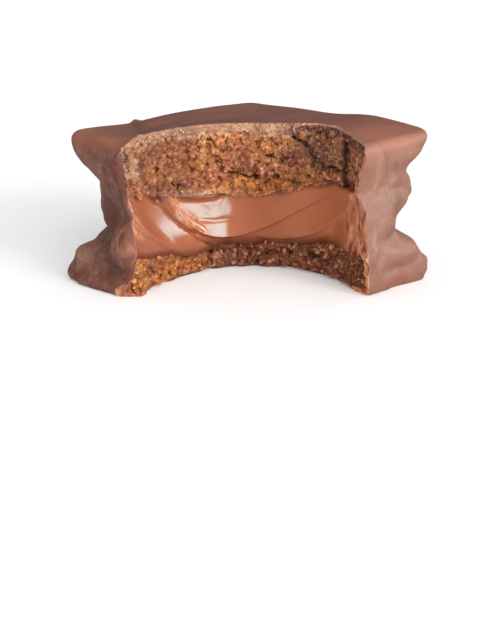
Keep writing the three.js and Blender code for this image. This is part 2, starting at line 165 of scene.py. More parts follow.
DEEPEST_W = -7.2
BITE_RISE = 20
BITE_LEFT = dict(lid_width=25.8, lid_power=2.6, foot_width=22.3, foot_power=2.2)
BITE_RIGHT = dict(lid_width=21.7, lid_power=6.5, foot_width=23.8, foot_power=2.5)
LEFT_WALL = (22.3, 24.8)  # u past which the left end breaks straight through, at the foot and at the lid
OUTMOST_W = 22

RIM = 24
HIGHEST = 1.9
CREAM_FLOOR = (4.7, 2.2)  # height in the middle, and how much higher it is at RIM
CREAM_CEILING = (16.3, 3.5)
# where they are higher or lower: u, w, half size, how much
FLOOR_PLACES = [(17, -1, 5, 1.2), (-14, -3, 4.5, -1.3)]
CEILING_PLACES = [(17, -1, 9, 1.6), (0.5, -7, 4, -0.9), (-8, -6, 4, 0.6)]

# heights between which a form fades in or out
FOOT_ENDS = (0.2, 3.2)  # the wavy foot
WAIST_STARTS = (2, 7)  # the folds of the waist
WAIST_ENDS = (21, 27)
LID_STARTS = (HEIGHT - 6, HEIGHT)  # the unevenness of the top
BITE_TURNS = (2, HEIGHT - 4)  # from the bite's outline at the foot to its outline at the lid
WALL_STARTS = (1.5, 5)  # the straight break at the bite's left end

# %% Noise that is the same on every run
HASH = (374761393, 668265263, 1274126177, 974634777)
WORD = 0xFFFFFFFF


def cell_value(i, j, k, seed):
    """A number from 0 to 1 for each cell of an endless grid."""
    h = (i * HASH[0] + j * HASH[1] + k * HASH[2] + seed * HASH[3]) & WORD
    h = ((h ^ (h >> 13)) * HASH[2]) & WORD
    return (h ^ (h >> 16)) / 2**32


def smooth(t):
    return t * t * (3 - 2 * t)


def ramp(value, start, end):
    """0 before start, 1 after end, and smooth between them."""
    return smooth(np.clip((value - start) / (end - start), 0, 1))


def mix(a, b, t):
    return a + (b - a) * t


def spot(a, b, size_a, size_b):
    """A soft oval spot: 1 where a and b are 0, and it fades out over its two sizes."""
    return np.exp(-((a / size_a) ** 2) - (b / size_b) ** 2)


def noise(lumps, x, y, z):
    """Smooth noise from -height to height, with lumps of one size."""
    p = [np.asarray(v, float) / lumps.size for v in np.broadcast_arrays(x, y, z)]
    cell = [np.floor(v).astype(np.int64) for v in p]
    a, b, c = [smooth(v - n) for v, n in zip(p, cell)]

    def level(dk):
        def row(dj):
            ends = [cell_value(cell[0] + di, cell[1] + dj, cell[2] + dk, lumps.seed) for di in (0, 1)]
            return mix(ends[0], ends[1], a)
        return mix(row(0), row(1), b)

    return lumps.height * (2 * mix(level(0), level(1), c) - 1)


# %% The outer form
def profile_at(z, column):
    """A smooth curve through the stations of PROFILE."""
    heights, sizes = PROFILE[:, 0], PROFILE[:, column]
    last = len(heights) - 1
    lower = np.maximum(np.arange(last + 1) - 1, 0)
    upper = np.minimum(np.arange(last + 1) + 1, last)
    slopes = (sizes[upper] - sizes[lower]) / (heights[upper] - heights[lower])
    i = np.clip(np.searchsorted(heights, z, side="left") - 1, 0, last - 1)
    span = heights[i + 1] - heights[i]
    t = np.clip((z - heights[i]) / span, 0, 1)
    return ((2 * t**3 - 3 * t**2 + 1) * sizes[i] + (t**3 - 2 * t**2 + t) * span * slopes[i]
            + (3 * t**2 - 2 * t**3) * sizes[i + 1] + (t**3 - t**2) * span * slopes[i + 1])


def rounded_square(angle, face, corner):
    """Distance from the axis to a square with rounded corners, in the direction of angle."""
    a, b = np.abs(np.cos(angle)), np.abs(np.sin(angle))
    far, near = np.maximum(a, b), np.minimum(a, b)
    radius = (face * ROOT2 - corner) / (ROOT2 - 1)
    straight = face - radius
    round_part = straight * (far + near) + np.sqrt(np.maximum(radius**2 - (straight * (far - near)) ** 2, 0))
    return np.where(near * face <= far * straight, face / far, round_part)


def edge_inset(z):
    """How far the two rounded edges stay behind the side's profile."""
    above = np.clip((z - (HEIGHT - TOP_EDGE)) / TOP_EDGE, 0, 1)
    below = np.clip((BASE_EDGE - z) / BASE_EDGE, 0, 1)
    return TOP_EDGE * (1 - np.sqrt(1 - above**2)) + BASE_EDGE * (1 - np.sqrt(1 - below**2))


def round_from(azimuth, angle, radius):
    """How far round the side a place is from an azimuth."""
    turn = angle - radians(azimuth)
    return np.arctan2(np.sin(turn), np.cos(turn)) * radius


def coating_relief(x, y, z, angle):
    """The lumps that thick chocolate sets in."""
    radius = np.hypot(x, y)
    out = np.zeros_like(radius)
    for azimuth, height, along, tall, lift in SWELLINGS:
        out += lift * spot(round_from(azimuth, angle, radius), z - height, along, tall)
    waist = ramp(z, *WAIST_STARTS) * (1 - ramp(z, *WAIST_ENDS))
    folds = np.abs(noise(FOLDS, x, y, z)) - FOLD_FLOOR * FOLDS.height
    foot = 1 - ramp(z, *FOOT_ENDS)
    out += waist * (folds + noise(DIMPLES, x, y, z))
    out += foot * (noise(SKIRT[0], x, y, 0) + noise(SKIRT[1], x, y, 0))
    return out + noise(UNEVEN_SIDE, x, y, z)


def waves(places, x, y):
    """Sum of round rises and hollows."""
    u, w = to_bite(x, y)
    return sum(lift * np.exp(-((u - pu) ** 2 + (w - pw) ** 2) / size**2) for pu, pw, size, lift in places)


def top_relief(x, y):
    return noise(UNEVEN_TOP, x, y, 0) + waves(TOP_WAVES, x, y)


FAR_U = 36  # past both ends of the bite


def bite_arc(u, z):
    """How far from the middle the bite is, at each place along it and each height."""
    lid = ramp(z, *BITE_TURNS)
    sizes = {key: np.where(u < 0, BITE_LEFT[key], BITE_RIGHT[key]) for key in BITE_LEFT}
    width = mix(sizes["foot_width"], sizes["lid_width"], lid)
    power = mix(sizes["foot_power"], sizes["lid_power"], lid)
    wall = np.where(u < 0, mix(*LEFT_WALL, lid), FAR_U)
    arc = DEEPEST_W + BITE_RISE * (np.minimum(np.abs(u), wall) / width) ** power
    return np.minimum(arc + ramp(z, *WALL_STARTS) * np.maximum(np.abs(u) - wall, 0), OUTMOST_W)


# %% [markdown]
# ## Turning rules into meshes
# Two kinds of surface are enough. A wrapped surface has rings that run from the middle of the top,
# down the side and in to the middle of the underside, and closes by itself. A bite is a sheet that
# is bent along the arc, with a box behind it, and a Boolean takes it away. The Manifold solver is
# used for that: it keeps attributes, is fast on fine meshes, and always gives a closed result.

# %% Mesh helpers
def new_piece(name, points, faces, material):
    """A mesh object from points in millimetres."""
    mesh = bpy.data.meshes.new(name)
    mesh.from_pydata((np.asarray(points) * MM).tolist(), [], faces)
    mesh.update()
    mesh.materials.append(material)
    piece = bpy.data.objects.new(name, mesh)
    scene.collection.objects.link(piece)
    return piece


def wrapped_faces(rows, columns):
    """Faces of a surface with a pole at each end and rows - 1 rings between them."""
    def ring(r, c):
        return 1 + (r - 1) * columns + c % columns

    last = 1 + (rows - 1) * columns
    faces = [(0, ring(1, c), ring(1, c + 1)) for c in range(columns)]
    for r in range(1, rows - 1):
        faces += [(ring(r, c), ring(r + 1, c), ring(r + 1, c + 1), ring(r, c + 1)) for c in range(columns)]
    return faces + [(ring(rows - 1, c), last, ring(rows - 1, c + 1)) for c in range(columns)]


def wrapped(name, rows, columns, at, material):
    """A wrapped surface. at(row, angle) gives x, y and z for arrays of rows and angles."""
    row = np.repeat(np.arange(1, rows), columns)
    angle = np.tile(np.arange(columns) / columns * 2 * pi, rows - 1)
    row = np.concatenate([[0], row, [rows]])
    angle = np.concatenate([[0], angle, [0]])
    return new_piece(name, np.stack(at(row, angle), axis=-1), wrapped_faces(rows, columns), material)


def evaluated(piece):
    """A plain mesh of the piece with its modifiers applied."""
    graph = bpy.context.evaluated_depsgraph_get()
    return bpy.data.meshes.new_from_object(piece.evaluated_get(graph), depsgraph=graph)


def settle(piece):
    """Puts the result of the piece's modifiers into its mesh."""
    mesh, old, name = evaluated(piece), piece.data, piece.name
    piece.modifiers.clear()
    piece.data = mesh
    bpy.data.meshes.remove(old)
    mesh.name = name


def combine(piece, tool, operation):
    """Cuts the piece with the tool, or keeps what both share, and removes the tool."""
    step = piece.modifiers.new("combine", "BOOLEAN")
    step.solver = "MANIFOLD"
    step.operation = operation
    step.material_mode = "TRANSFER"
    step.object = tool
    settle(piece)
    spare = tool.data
    bpy.data.objects.remove(tool)
    bpy.data.meshes.remove(spare)


def distance_to_line(points, u, z):
    """Distance from each place to a line through points."""
    nearest = np.full(np.shape(u), np.inf)
    for (u0, z0), (u1, z1) in zip(points[:-1], points[1:]):
        run_u, run_z = u1 - u0, z1 - z0
        t = np.clip(((u - u0) * run_u + (z - z0) * run_z) / (run_u**2 + run_z**2), 0, 1)
        nearest = np.minimum(nearest, np.hypot(u - u0 - t * run_u, z - z0 - t * run_z))
    return nearest


def on_line(points, half_width, u, z):
    """1 on a line through points, fading out to its sides."""
    return np.exp(-((distance_to_line(points, u, z) / half_width) ** 2))


def points_of(piece):
    """The piece's points in millimetres, as an array."""
    flat = np.empty(len(piece.data.vertices) * 3, np.float32)
    piece.data.vertices.foreach_get("co", flat)
    return flat.reshape(-1, 3).astype(float) / MM


# %% The bite as a cutting sheet
FRONT_W = 60  # the cutting box reaches this far out
REACH_U = 31  # the fine part of the sheet ends here
ARC_SAMPLES = 4000


def arc_columns(step):
    """Values of u that are one step apart along the arc, measured half way up."""
    u = np.linspace(-REACH_U, REACH_U, ARC_SAMPLES)
    w = bite_arc(u, HALF_WAY)
    length = np.concatenate([[0], np.cumsum(np.hypot(np.diff(u), np.diff(w)))])
    even = np.interp(np.linspace(0, length[-1], int(length[-1] / step)), length, u)
    return np.concatenate([[-FAR_U], even, [FAR_U]])


def bite_tool(step, set_back, low, high, relief, material):
    """A closed tool whose back is the bitten face of one layer. relief(u, z) is along its normal."""
    columns = arc_columns(step)
    rows = np.linspace(low, high, int((high - low) / step) + 1)
    u, z = np.meshgrid(columns, rows)
    w = bite_arc(u, z)
    slope = np.gradient(bite_arc(columns, HALF_WAY), columns)
    normal_u, normal_w = -slope / np.hypot(1, slope), 1 / np.hypot(1, slope)
    inner = (np.abs(u) < REACH_U).astype(float)
    out = (relief(u, z) - set_back) * inner
    back = np.stack(from_bite(u + out * normal_u, w + out * normal_w, z), axis=-1)
    count_r, count_c = u.shape
    index = np.arange(count_r * count_c).reshape(count_r, count_c)
    border = np.concatenate([index[0], index[1:, -1], index[-1, -2::-1], index[-2:0:-1, 0]])
    points = back.reshape(-1, 3)
    front = np.stack(from_bite(u.ravel()[border], FRONT_W, z.ravel()[border]), axis=-1)
    middle = np.array([from_bite(0, FRONT_W, (low + high) / 2)])
    start, last = len(points), len(points) + len(border)
    corners = [index[:-1, :-1], index[1:, :-1], index[1:, 1:], index[:-1, 1:]]
    faces = np.stack(corners, -1).reshape(-1, 4).tolist()
    for n in range(len(border)):
        m = (n + 1) % len(border)
        faces.append((int(border[n]), int(border[m]), start + m, start + n))
        faces.append((start + n, start + m, last))
    return new_piece("bite_tool", np.concatenate([points, front, middle]), faces, material)


# %% [markdown]
# ## Materials
# Chocolate, biscuit and cream are all soft, warm browns, and differ in how they answer light. Set
# chocolate is satin, with faint clouds, scuffs and dust. Broken chocolate is paler and dull. Torn
# biscuit is matt, and its colour changes from grain to grain. The cream is glossy.
# Three effects are wanted in more than one place, so each is a node group with its own inputs:
# clouds, specks, and streaks of rubbed crumb. Where a finish has to follow the form, as at the edge
# of the bite, a number is stored on the mesh, and the material reads it by its name.

# %% Node helpers
def srgb(red, green, blue):
    """A colour given as 0 to 255 steps of a screen, in the linear values that shaders use."""
    parts = [v / 255 for v in (red, green, blue)]
    return (*[v / 12.92 if v <= 0.04045 else ((v + 0.055) / 1.055) ** 2.4 for v in parts], 1)


def feed(tree, socket, value):
    """Gives a socket a plain value, or links another node's output to it."""
    if isinstance(value, bpy.types.NodeSocket):
        tree.links.new(value, socket)
    else:
        socket.default_value = value


def add_node(tree, kind, inputs=None, **settings):
    """Adds a node. An input may be a value or another node's output."""
    node = tree.nodes.new(kind)
    for key, value in settings.items():
        setattr(node, key, value)
    for key, value in (inputs or {}).items():
        feed(tree, node.inputs[key], value)
    return node


def math(tree, operation, a, b=0.0, c=0.0):
    return add_node(tree, "ShaderNodeMath", {0: a, 1: b, 2: c}, operation=operation).outputs[0]


def times(tree, a, b):
    return math(tree, "MULTIPLY", a, b)


def ramp_node(tree, value, start, end, low=0.0, high=1.0):
    """Maps start..end of a value to low..high, smoothly."""
    return add_node(tree, "ShaderNodeMapRange", {
        "Value": value, "From Min": start, "From Max": end, "To Min": low, "To Max": high,
    }, interpolation_type="SMOOTHSTEP").outputs["Result"]


def noise_node(tree, place, scale, detail, **more):
    """Uneven values around 0.5. More of the node's inputs may be given by name."""
    inputs = {"Vector": place, "Scale": scale, "Detail": detail, **more}
    return add_node(tree, "ShaderNodeTexNoise", inputs).outputs["Fac"]


def stretched(tree, place, turn, scale):
    """The place, turned and stretched, for a pattern that runs one way."""
    inputs = {"Vector": place, "Rotation": turn, "Scale": scale}
    return add_node(tree, "ShaderNodeMapping", inputs).outputs[0]


def blend_colours(tree, factor, a, b, mode="MIX"):
    """Mixes two colours by a factor."""
    node = add_node(tree, "ShaderNodeMix", {"Factor": factor}, data_type="RGBA", blend_type=mode)
    for key, value in (("A", a), ("B", b)):
        feed(tree, next(s for s in node.inputs if s.name == key and s.type == "RGBA"), value)
    return next(s for s in node.outputs if s.type == "RGBA")


def read(tree, name):
    """A number that is stored on the mesh."""
    return add_node(tree, "ShaderNodeAttribute", attribute_name=name).outputs["Fac"]


def tint(tree, colour, value, mask, share=1):
    """Blends another colour in, by a mask or by the name of a number on the mesh."""
    factor = read(tree, mask) if isinstance(mask, str) else mask
    if share != 1:
        factor = times(tree, factor, share)
    return blend_colours(tree, factor, colour, value)


SOCKETS = {float: "Float", int: "Int", tuple: "Color"}


def new_tree(kind, name, inputs, outputs):
    """A node group. inputs map a name to a starting value, or to a kind of socket, as outputs do.
    Gives the group, the sockets that it is given, and those that take its results."""
    tree = bpy.data.node_groups.new(name, kind)
    for in_out, sockets in (("INPUT", inputs), ("OUTPUT", outputs)):
        for key, value in sockets.items():
            socket_kind = SOCKETS.get(type(value), value)
            socket = tree.interface.new_socket(key, in_out=in_out, socket_type=f"NodeSocket{socket_kind}")
            if socket_kind is not value:
                socket.default_value = value
    return tree, tree.nodes.new("NodeGroupInput").outputs, tree.nodes.new("NodeGroupOutput").inputs


def new_material(name, roughness, **settings):
    """A material with a Principled shader. Gives the material, its nodes, the shader and the place."""
    material = bpy.data.materials.new(name)
    material.use_nodes = True
    tree = material.node_tree
    shader = tree.nodes["Principled BSDF"]
    for key, value in {"roughness": roughness, **settings}.items():
        shader.inputs[key.replace("_", " ").title().replace("Ior", "IOR")].default_value = value
    return material, tree, shader, tree.nodes.new("ShaderNodeTexCoord").outputs["Object"]


def finish(tree, shader, colour, height, strength, distance):
    """Sends the colour to the shader, and the height to it as a bump."""
    bump = add_node(tree, "ShaderNodeBump", {"Height": height, "Strength": strength, "Distance": distance})
    tree.links.new(colour, shader.inputs["Base Color"])
    tree.links.new(bump.outputs["Normal"], shader.inputs["Normal"])


# %% Group: clouds, soft uneven patches
clouds, given, result = new_tree("ShaderNodeTree", "clouds", {
    "Place": "Vector", "Size": 0.01, "Detail": 3.0, "Sharpness": 0.3,
}, {"Mask": "Float"})
scale = math(clouds, "DIVIDE", 1.0, given["Size"])
uneven = noise_node(clouds, given["Place"], scale, given["Detail"])
half = times(clouds, given["Sharpness"], 0.5)
mask = ramp_node(clouds, uneven, math(clouds, "SUBTRACT", 0.5, half), math(clouds, "ADD", 0.5, half))
clouds.links.new(mask, result["Mask"])


def cloud_mask(tree, place, size, detail, sharpness):
    inputs = {"Place": place, "Size": size, "Detail": detail, "Sharpness": sharpness}
    return add_node(tree, "ShaderNodeGroup", inputs, node_tree=clouds).outputs["Mask"]


# %% Group: specks, small separate spots
specks, given, result = new_tree("ShaderNodeTree", "specks", {
    "Place": "Vector", "Spacing": 0.003, "Radius": 0.0003, "Share": 0.5,
}, {"Mask": "Float"})
scale = math(specks, "DIVIDE", 1.0, given["Spacing"])
cell = add_node(specks, "ShaderNodeTexVoronoi", {"Vector": given["Place"], "Scale": scale}).outputs
chance = add_node(specks, "ShaderNodeSeparateColor", {"Color": cell["Color"]}).outputs
radius = times(specks, given["Radius"], math(specks, "ADD", chance["Green"], 0.4))
distance = times(specks, cell["Distance"], given["Spacing"])
disc = ramp_node(specks, distance, radius, times(specks, radius, 0.6))
kept = math(specks, "LESS_THAN", chance["Red"], given["Share"])
specks.links.new(times(specks, disc, kept), result["Mask"])


def speck_mask(tree, place, spacing, radius, share):
    inputs = {"Place": place, "Spacing": spacing, "Radius": radius, "Share": share}
    return add_node(tree, "ShaderNodeGroup", inputs, node_tree=specks).outputs["Mask"]


# %% Group: smear, crumb and chocolate rubbed into streaks
RUBBED_LIGHT = srgb(232, 172, 130)
RUBBED_MIDDLE = srgb(196, 124, 90)
RUBBED_DARK = srgb(130, 72, 54)
smear, given, result = new_tree("ShaderNodeTree", "smear", {
    "Place": "Vector", "Size": 0.0016, "Light": RUBBED_LIGHT, "Middle": RUBBED_MIDDLE, "Dark": RUBBED_DARK,
}, {"Colour": "Color", "Height": "Float"})
drawn = stretched(smear, given["Place"], (0.4, -0.4, 0), (1, 1, 0.45))
uneven = noise_node(smear, drawn, math(smear, "DIVIDE", 1.0, given["Size"]), 3.0, Distortion=0.6)
colour = tint(smear, given["Middle"], given["Dark"], ramp_node(smear, uneven, 0.46, 0.36))
colour = tint(smear, colour, given["Light"], ramp_node(smear, uneven, 0.54, 0.64))
smear.links.new(colour, result["Colour"])
smear.links.new(uneven, result["Height"])


def smeared(tree, place):
    return add_node(tree, "ShaderNodeGroup", {"Place": place}, node_tree=smear).outputs


# %% Set chocolate, the outside of the coating
CHOCOLATE = srgb(126, 75, 58)
CHOCOLATE_DEEP = srgb(114, 64, 49)
CHOCOLATE_PALE = srgb(144, 96, 78)
# painted light on the upper edges
CHOCOLATE_LIT = srgb(168, 100, 77)
# also the colour of the painted shade in creases and hollows
CHOCOLATE_DARK = srgb(84, 45, 35)
CHOCOLATE_DUSTY = srgb(166, 122, 106)
# dusty bloom, and painted sheen
CHOCOLATE_BLOOM_AND_SHEEN = srgb(174, 140, 114)
DUST = srgb(205, 178, 155)

chocolate, tree, shader, place = new_material("set_chocolate", 0.5)
small_clouds = cloud_mask(tree, place, 0.003, 4.0, 0.6)
colour = tint(tree, CHOCOLATE, CHOCOLATE_DEEP, cloud_mask(tree, place, 0.016, 2.0, 0.5), 0.85)
colour = tint(tree, colour, CHOCOLATE_PALE, small_clouds, 0.3)
mottle = noise_node(tree, place, 480.0, 4.0, Roughness=0.7)
for start, end, share, value in ((0.5, 0.66, 0.5, CHOCOLATE_DUSTY), (0.48, 0.34, 0.6, CHOCOLATE_DARK)):
    amount = times(tree, ramp_node(tree, mottle, start, end, 0, share), read(tree, "mottled"))
    colour = tint(tree, colour, value, amount)
# painted light on the upper edges
colour = tint(tree, colour, CHOCOLATE_LIT, "lit_edges")
# painted shade in creases, hollows and behind the rim, and dark cracks and scratches
colour = tint(tree, colour, CHOCOLATE_DARK, "shade_and_cracks")
# bloom, and painted sheen where the side faces the light
powder = ramp_node(tree, noise_node(tree, place, 1000.0, 3.0, Roughness=0.7), 0.42, 0.62, 0.6, 1.0)
colour = tint(tree, colour, CHOCOLATE_BLOOM_AND_SHEEN, times(tree, read(tree, "bloom_and_sheen"), powder))
colour = tint(tree, colour, DUST, speck_mask(tree, place, 0.0042, 0.00022, 0.3), 0.7)
tree.links.new(ramp_node(tree, small_clouds, 0, 1, 0.5, 0.62), shader.inputs["Roughness"])
brushed = stretched(tree, place, (0, 0, radians(25)), (1, 9, 3))
scratches = times(tree, noise_node(tree, brushed, 150.0, 3.0), 0.45)
height = math(tree, "ADD", scratches, noise_node(tree, place, 420.0, 3.0))
finish(tree, shader, colour, height, 0.12, 0.0004)

# %% Broken chocolate, the cut edge of the coating
BROKEN_TAN = srgb(184, 145, 112)
BROKEN_TAN_DEEP = srgb(160, 108, 84)
BROKEN_GREY = srgb(138, 110, 98)
BROKEN_MAUVE = srgb(112, 67, 54)
BROKEN_MAUVE_DEEP = srgb(86, 48, 39)
BROKEN_GRAIN = srgb(176, 134, 116)
# paler skin at the broken edge, with a painted highlight along its outer rim
SKIN_AND_EDGE_HIGHLIGHT = srgb(196, 140, 114)

broken, tree, shader, place = new_material("broken_chocolate", 0.6, specular_ior_level=0.2)
broad = cloud_mask(tree, place, 0.004, 2.0, 0.3)
mottle = cloud_mask(tree, place, 0.0016, 3.0, 0.25)
tan = tint(tree, BROKEN_TAN, BROKEN_GREY, broad, 0.7)
tan = tint(tree, tan, BROKEN_TAN_DEEP, mottle, 0.8)
gritty = read(tree, "gritty")
grains = noise_node(tree, place, 1300.0, 3.0)
light_grains = times(tree, ramp_node(tree, grains, 0.52, 0.62, 0, 0.75), gritty)
dark_grains = times(tree, ramp_node(tree, grains, 0.46, 0.38, 0, 0.6), gritty)
colour = tint(tree, BROKEN_MAUVE, BROKEN_MAUVE_DEEP, broad, 0.7)
colour = tint(tree, colour, BROKEN_GRAIN, light_grains)
colour = tint(tree, colour, tan, "tan")
colour = tint(tree, colour, BROKEN_MAUVE_DEEP, dark_grains)
rubbed = smeared(tree, place)
crumby = read(tree, "crumby")
colour = tint(tree, colour, rubbed["Colour"], crumby)
# paler skin at the broken edge, with a painted highlight along its outer rim
colour = tint(tree, colour, SKIN_AND_EDGE_HIGHLIGHT, "skin_and_highlight")
streaks = times(tree, rubbed["Height"], times(tree, crumby, 2.0))
height = math(tree, "ADD", noise_node(tree, place, 1500.0, 4.0), mottle)
height = math(tree, "ADD", height, streaks)
height = math(tree, "MULTIPLY_ADD", times(tree, grains, gritty), 3.0, height)
finish(tree, shader, colour, height, 0.5, 0.0003)

# %% [markdown]
# ## The biscuit's colour
# Each grain carries its own tone, and each pore a painted shade by how deep it is, as numbers on
# the mesh. More of them say where painted shade darkens the crumb, where it is more golden, mauve
# where it is moist, pale where chocolate has soaked into it, and where a crack gets painted shade,
# near black. Patches of several sizes keep it from looking even.

# %% Torn biscuit
# place on the scale of tones, and colour
TONES = [
    (0.14, srgb(104, 52, 30)), (0.28, srgb(136, 76, 46)), (0.4, srgb(156, 92, 58)),
    (0.5, srgb(170, 104, 67)), (0.6, srgb(184, 118, 78)), (0.68, srgb(196, 132, 88)),
    (0.77, srgb(210, 148, 110)), (0.88, srgb(230, 186, 150)),
]
BROWNED = srgb(218, 150, 66)
ORANGE = srgb(204, 106, 52)
MOIST = srgb(134, 80, 72)
DARK = srgb(108, 56, 38)
# size, sharpness, share and colour
BISCUIT_PATCHES = [
    (0.0062, 0.12, 0.34, BROWNED), (0.0047, 0.1, 0.16, ORANGE),
    (0.0053, 0.12, 0.22, MOIST), (0.0026, 0.12, 0.36, DARK),
]
SUGAR = srgb(240, 206, 174)
SHADE_FACTOR = srgb(158, 138, 134)
GOLD_FACTOR = srgb(255, 240, 186)
BISCUIT_MAUVE = srgb(138, 98, 88)
BISCUIT_PALE = srgb(204, 166, 131)
# painted shade in the pores
PORE_SHADE = srgb(90, 42, 24)
# painted shade, near black, deep in a crack
CRACK_SHADE = srgb(56, 28, 22)

biscuit, tree, shader, place = new_material("torn_biscuit", 0.85)
tone = math(tree, "MULTIPLY_ADD", read(tree, "tone"), 0.6, -0.555)
tone = math(tree, "MULTIPLY_ADD", noise_node(tree, place, 1250.0, 2.0), 1.55, tone)
tones = add_node(tree, "ShaderNodeValToRGB", {"Fac": tone})
stops = tones.color_ramp.elements
while len(stops) < len(TONES):
    stops.new(0.5)
for stop, (where, value) in zip(stops, TONES):
    stop.position, stop.color = where, value
colour = tones.outputs["Color"]
for size, sharpness, share, value in BISCUIT_PATCHES:
    shift = (size * 40, size * 90, 0)  # so that no two kinds of patches coincide
    moved = add_node(tree, "ShaderNodeVectorMath", {0: place, 1: shift}, operation="ADD").outputs[0]
    colour = tint(tree, colour, value, cloud_mask(tree, moved, size, 2.0, sharpness), share)
colour = tint(tree, colour, SUGAR, speck_mask(tree, place, 0.0017, 0.00032, 0.55), 0.7)
for name, factor in (("shade", SHADE_FACTOR), ("gold", GOLD_FACTOR)):
    colour = tint(tree, colour, blend_colours(tree, 1.0, colour, factor, "MULTIPLY"), name)
# mauve and pale are the crumb's own colours; the pores get painted shade
for name, value, share in (("mauve", BISCUIT_MAUVE, 0.4), ("pale", BISCUIT_PALE, 0.7), ("pit_shade", PORE_SHADE, 0.8)):
    colour = tint(tree, colour, value, name, share)
# painted shade in the cracks
colour = tint(tree, colour, CRACK_SHADE, "crack_shade")
finish(tree, shader, colour, noise_node(tree, place, 2600.0, 3.0), 0.5, 0.0002)

# %% Cream
CREAM = srgb(166, 97, 65)
CREAM_DEEP = srgb(150, 80, 50)
CREAM_SHADED = srgb(96, 44, 26)
CREAM_SALMON = srgb(160, 93, 69)
CREAM_DRAWN = srgb(206, 144, 102)
# painted light
CREAM_LIT = srgb(185, 111, 79)
SCATTERING = dict(subsurface_weight=0.1, subsurface_radius=(0.002, 0.0009, 0.0005), subsurface_scale=0.6)

cream_finish, tree, shader, place = new_material("soft_cream", 0.16, specular_ior_level=0.6, **SCATTERING)
patch = cloud_mask(tree, place, 0.006, 2.0, 0.5)
colour = tint(tree, CREAM, CREAM_DEEP, patch, 0.5)
# painted light towards the right end
colour = tint(tree, colour, CREAM_LIT, "lit_right")
colour = tint(tree, colour, CREAM_SALMON, "salmon")
drawn_out = ramp_node(tree, noise_node(tree, place, 1100.0, 3.0, Distortion=1.0), 0.4, 0.6, 0.2, 0.95)
colour = tint(tree, colour, CREAM_DRAWN, times(tree, read(tree, "strands"), drawn_out))
colour = tint(tree, colour, CREAM_SHADED, "shaded")
rubbed = smeared(tree, place)
crumby = read(tree, "crumby")
colour = tint(tree, colour, rubbed["Colour"], crumby)
dull = times(tree, math(tree, "MAXIMUM", crumby, read(tree, "dull")), 0.55)
glossy = ramp_node(tree, patch, 0, 1, 0.12, 0.24)
tree.links.new(math(tree, "MAXIMUM", glossy, dull), shader.inputs["Roughness"])
streaks = times(tree, rubbed["Height"], times(tree, crumby, 12.0))
height = math(tree, "ADD", noise_node(tree, place, 500.0, 2.0), streaks)
finish(tree, shader, colour, height, 0.09, 0.0002)

# %% [markdown]
# ## The coating
# Dipped chocolate follows the biscuits but not their sharp edges. It stands thick over the waist,
# where it sets in rolls, and runs out into a thin wavy foot. The outside is a wrapped surface with
# the frame's own lumps and smaller wrinkles on top of them. The inside is hollowed by a plainer
# form, and the bite is cut last, so that its edge is fresh and sharp.

# %% The outside of the coating
WRINKLES = [Lumps(2.8, 0.2, 50), Lumps(1.5, 0.1, 51), Lumps(0.8, 0.035, 52)]
WRINKLES_START, WRINKLES_END = (0, 3), (20, 28)  # heights
COLUMNS = 560
LID_RINGS = np.linspace(0, 1, 70)[1:-1] ** 0.8
BASE_RINGS = np.linspace(1, 0, 30)[1:-1]


def side_heights(rows):
    """Heights from top to bottom, close together at the two rounded edges."""
    top = HEIGHT - TOP_EDGE * (1 - np.cos(np.linspace(0, pi / 2, 9)))
    side = np.linspace(HEIGHT - TOP_EDGE, BASE_EDGE, rows)[1:]
    foot = BASE_EDGE * (1 - np.sin(np.linspace(0, pi / 2, 4)[1:]))
    return np.concatenate([top, side, foot])


SIDE_ROWS = 76
SIDE = side_heights(SIDE_ROWS)
OUTSIDE_SHARES = np.concatenate([[0], LID_RINGS, np.ones(len(SIDE)), BASE_RINGS, [0]])


def plain_side(angle, z, behind=0):
    """Distance from the axis to the side without its lumps, or to a form that stays behind it."""
    return rounded_square(angle, profile_at(z, FACE) - behind, profile_at(z, CORNER) - behind)


def relief_at(plain, angle, z):
    return coating_relief(plain * np.cos(angle), plain * np.sin(angle), z, angle)


def coating_outside(row, angle):
    z = SIDE[np.clip(row - 1 - len(LID_RINGS), 0, len(SIDE) - 1)]
    plain = plain_side(angle, z, edge_inset(z))
    dx, dy = np.cos(angle), np.sin(angle)
    waist = ramp(z, *WRINKLES_START) * (1 - ramp(z, *WRINKLES_END))
    out = relief_at(plain, angle, z)
    for wrinkle in WRINKLES:
        out = out + waist * noise(wrinkle, plain * dx, plain * dy, z)
    radius = OUTSIDE_SHARES[row] * (plain + out)
    x, y = radius * dx, radius * dy
    return x, y, z + ramp(z, *LID_STARTS) * top_relief(x, y)


# %% The inside of the coating
COAT_UNDERSIDE = [Lumps(2.6, 1.5, 55), Lumps(1.0, 0.5, 56)]  # it has run into the biscuit's top unevenly
UNDERSIDE_STARTS = (-25, -13)  # along x + y
INNER_COLUMNS, INNER_ROWS, INNER_LID_RINGS = 200, 60, 44


def inner_radius(angle, z, inset):
    """Distance from the axis to the inside of the coating."""
    plain = plain_side(angle, z)
    dent = np.minimum(0, relief_at(plain, angle, z) + THINNING)
    behind = inset + edge_inset(np.minimum(z + TOP_COAT + inset - SIDE_COAT, HEIGHT))
    radius = plain_side(angle, z, behind) + dent
    for azimuth, height, along, tall, extra in THICK_PLACES:
        radius = radius - extra * spot(round_from(azimuth, angle, plain), z - height, along, tall)
    return radius


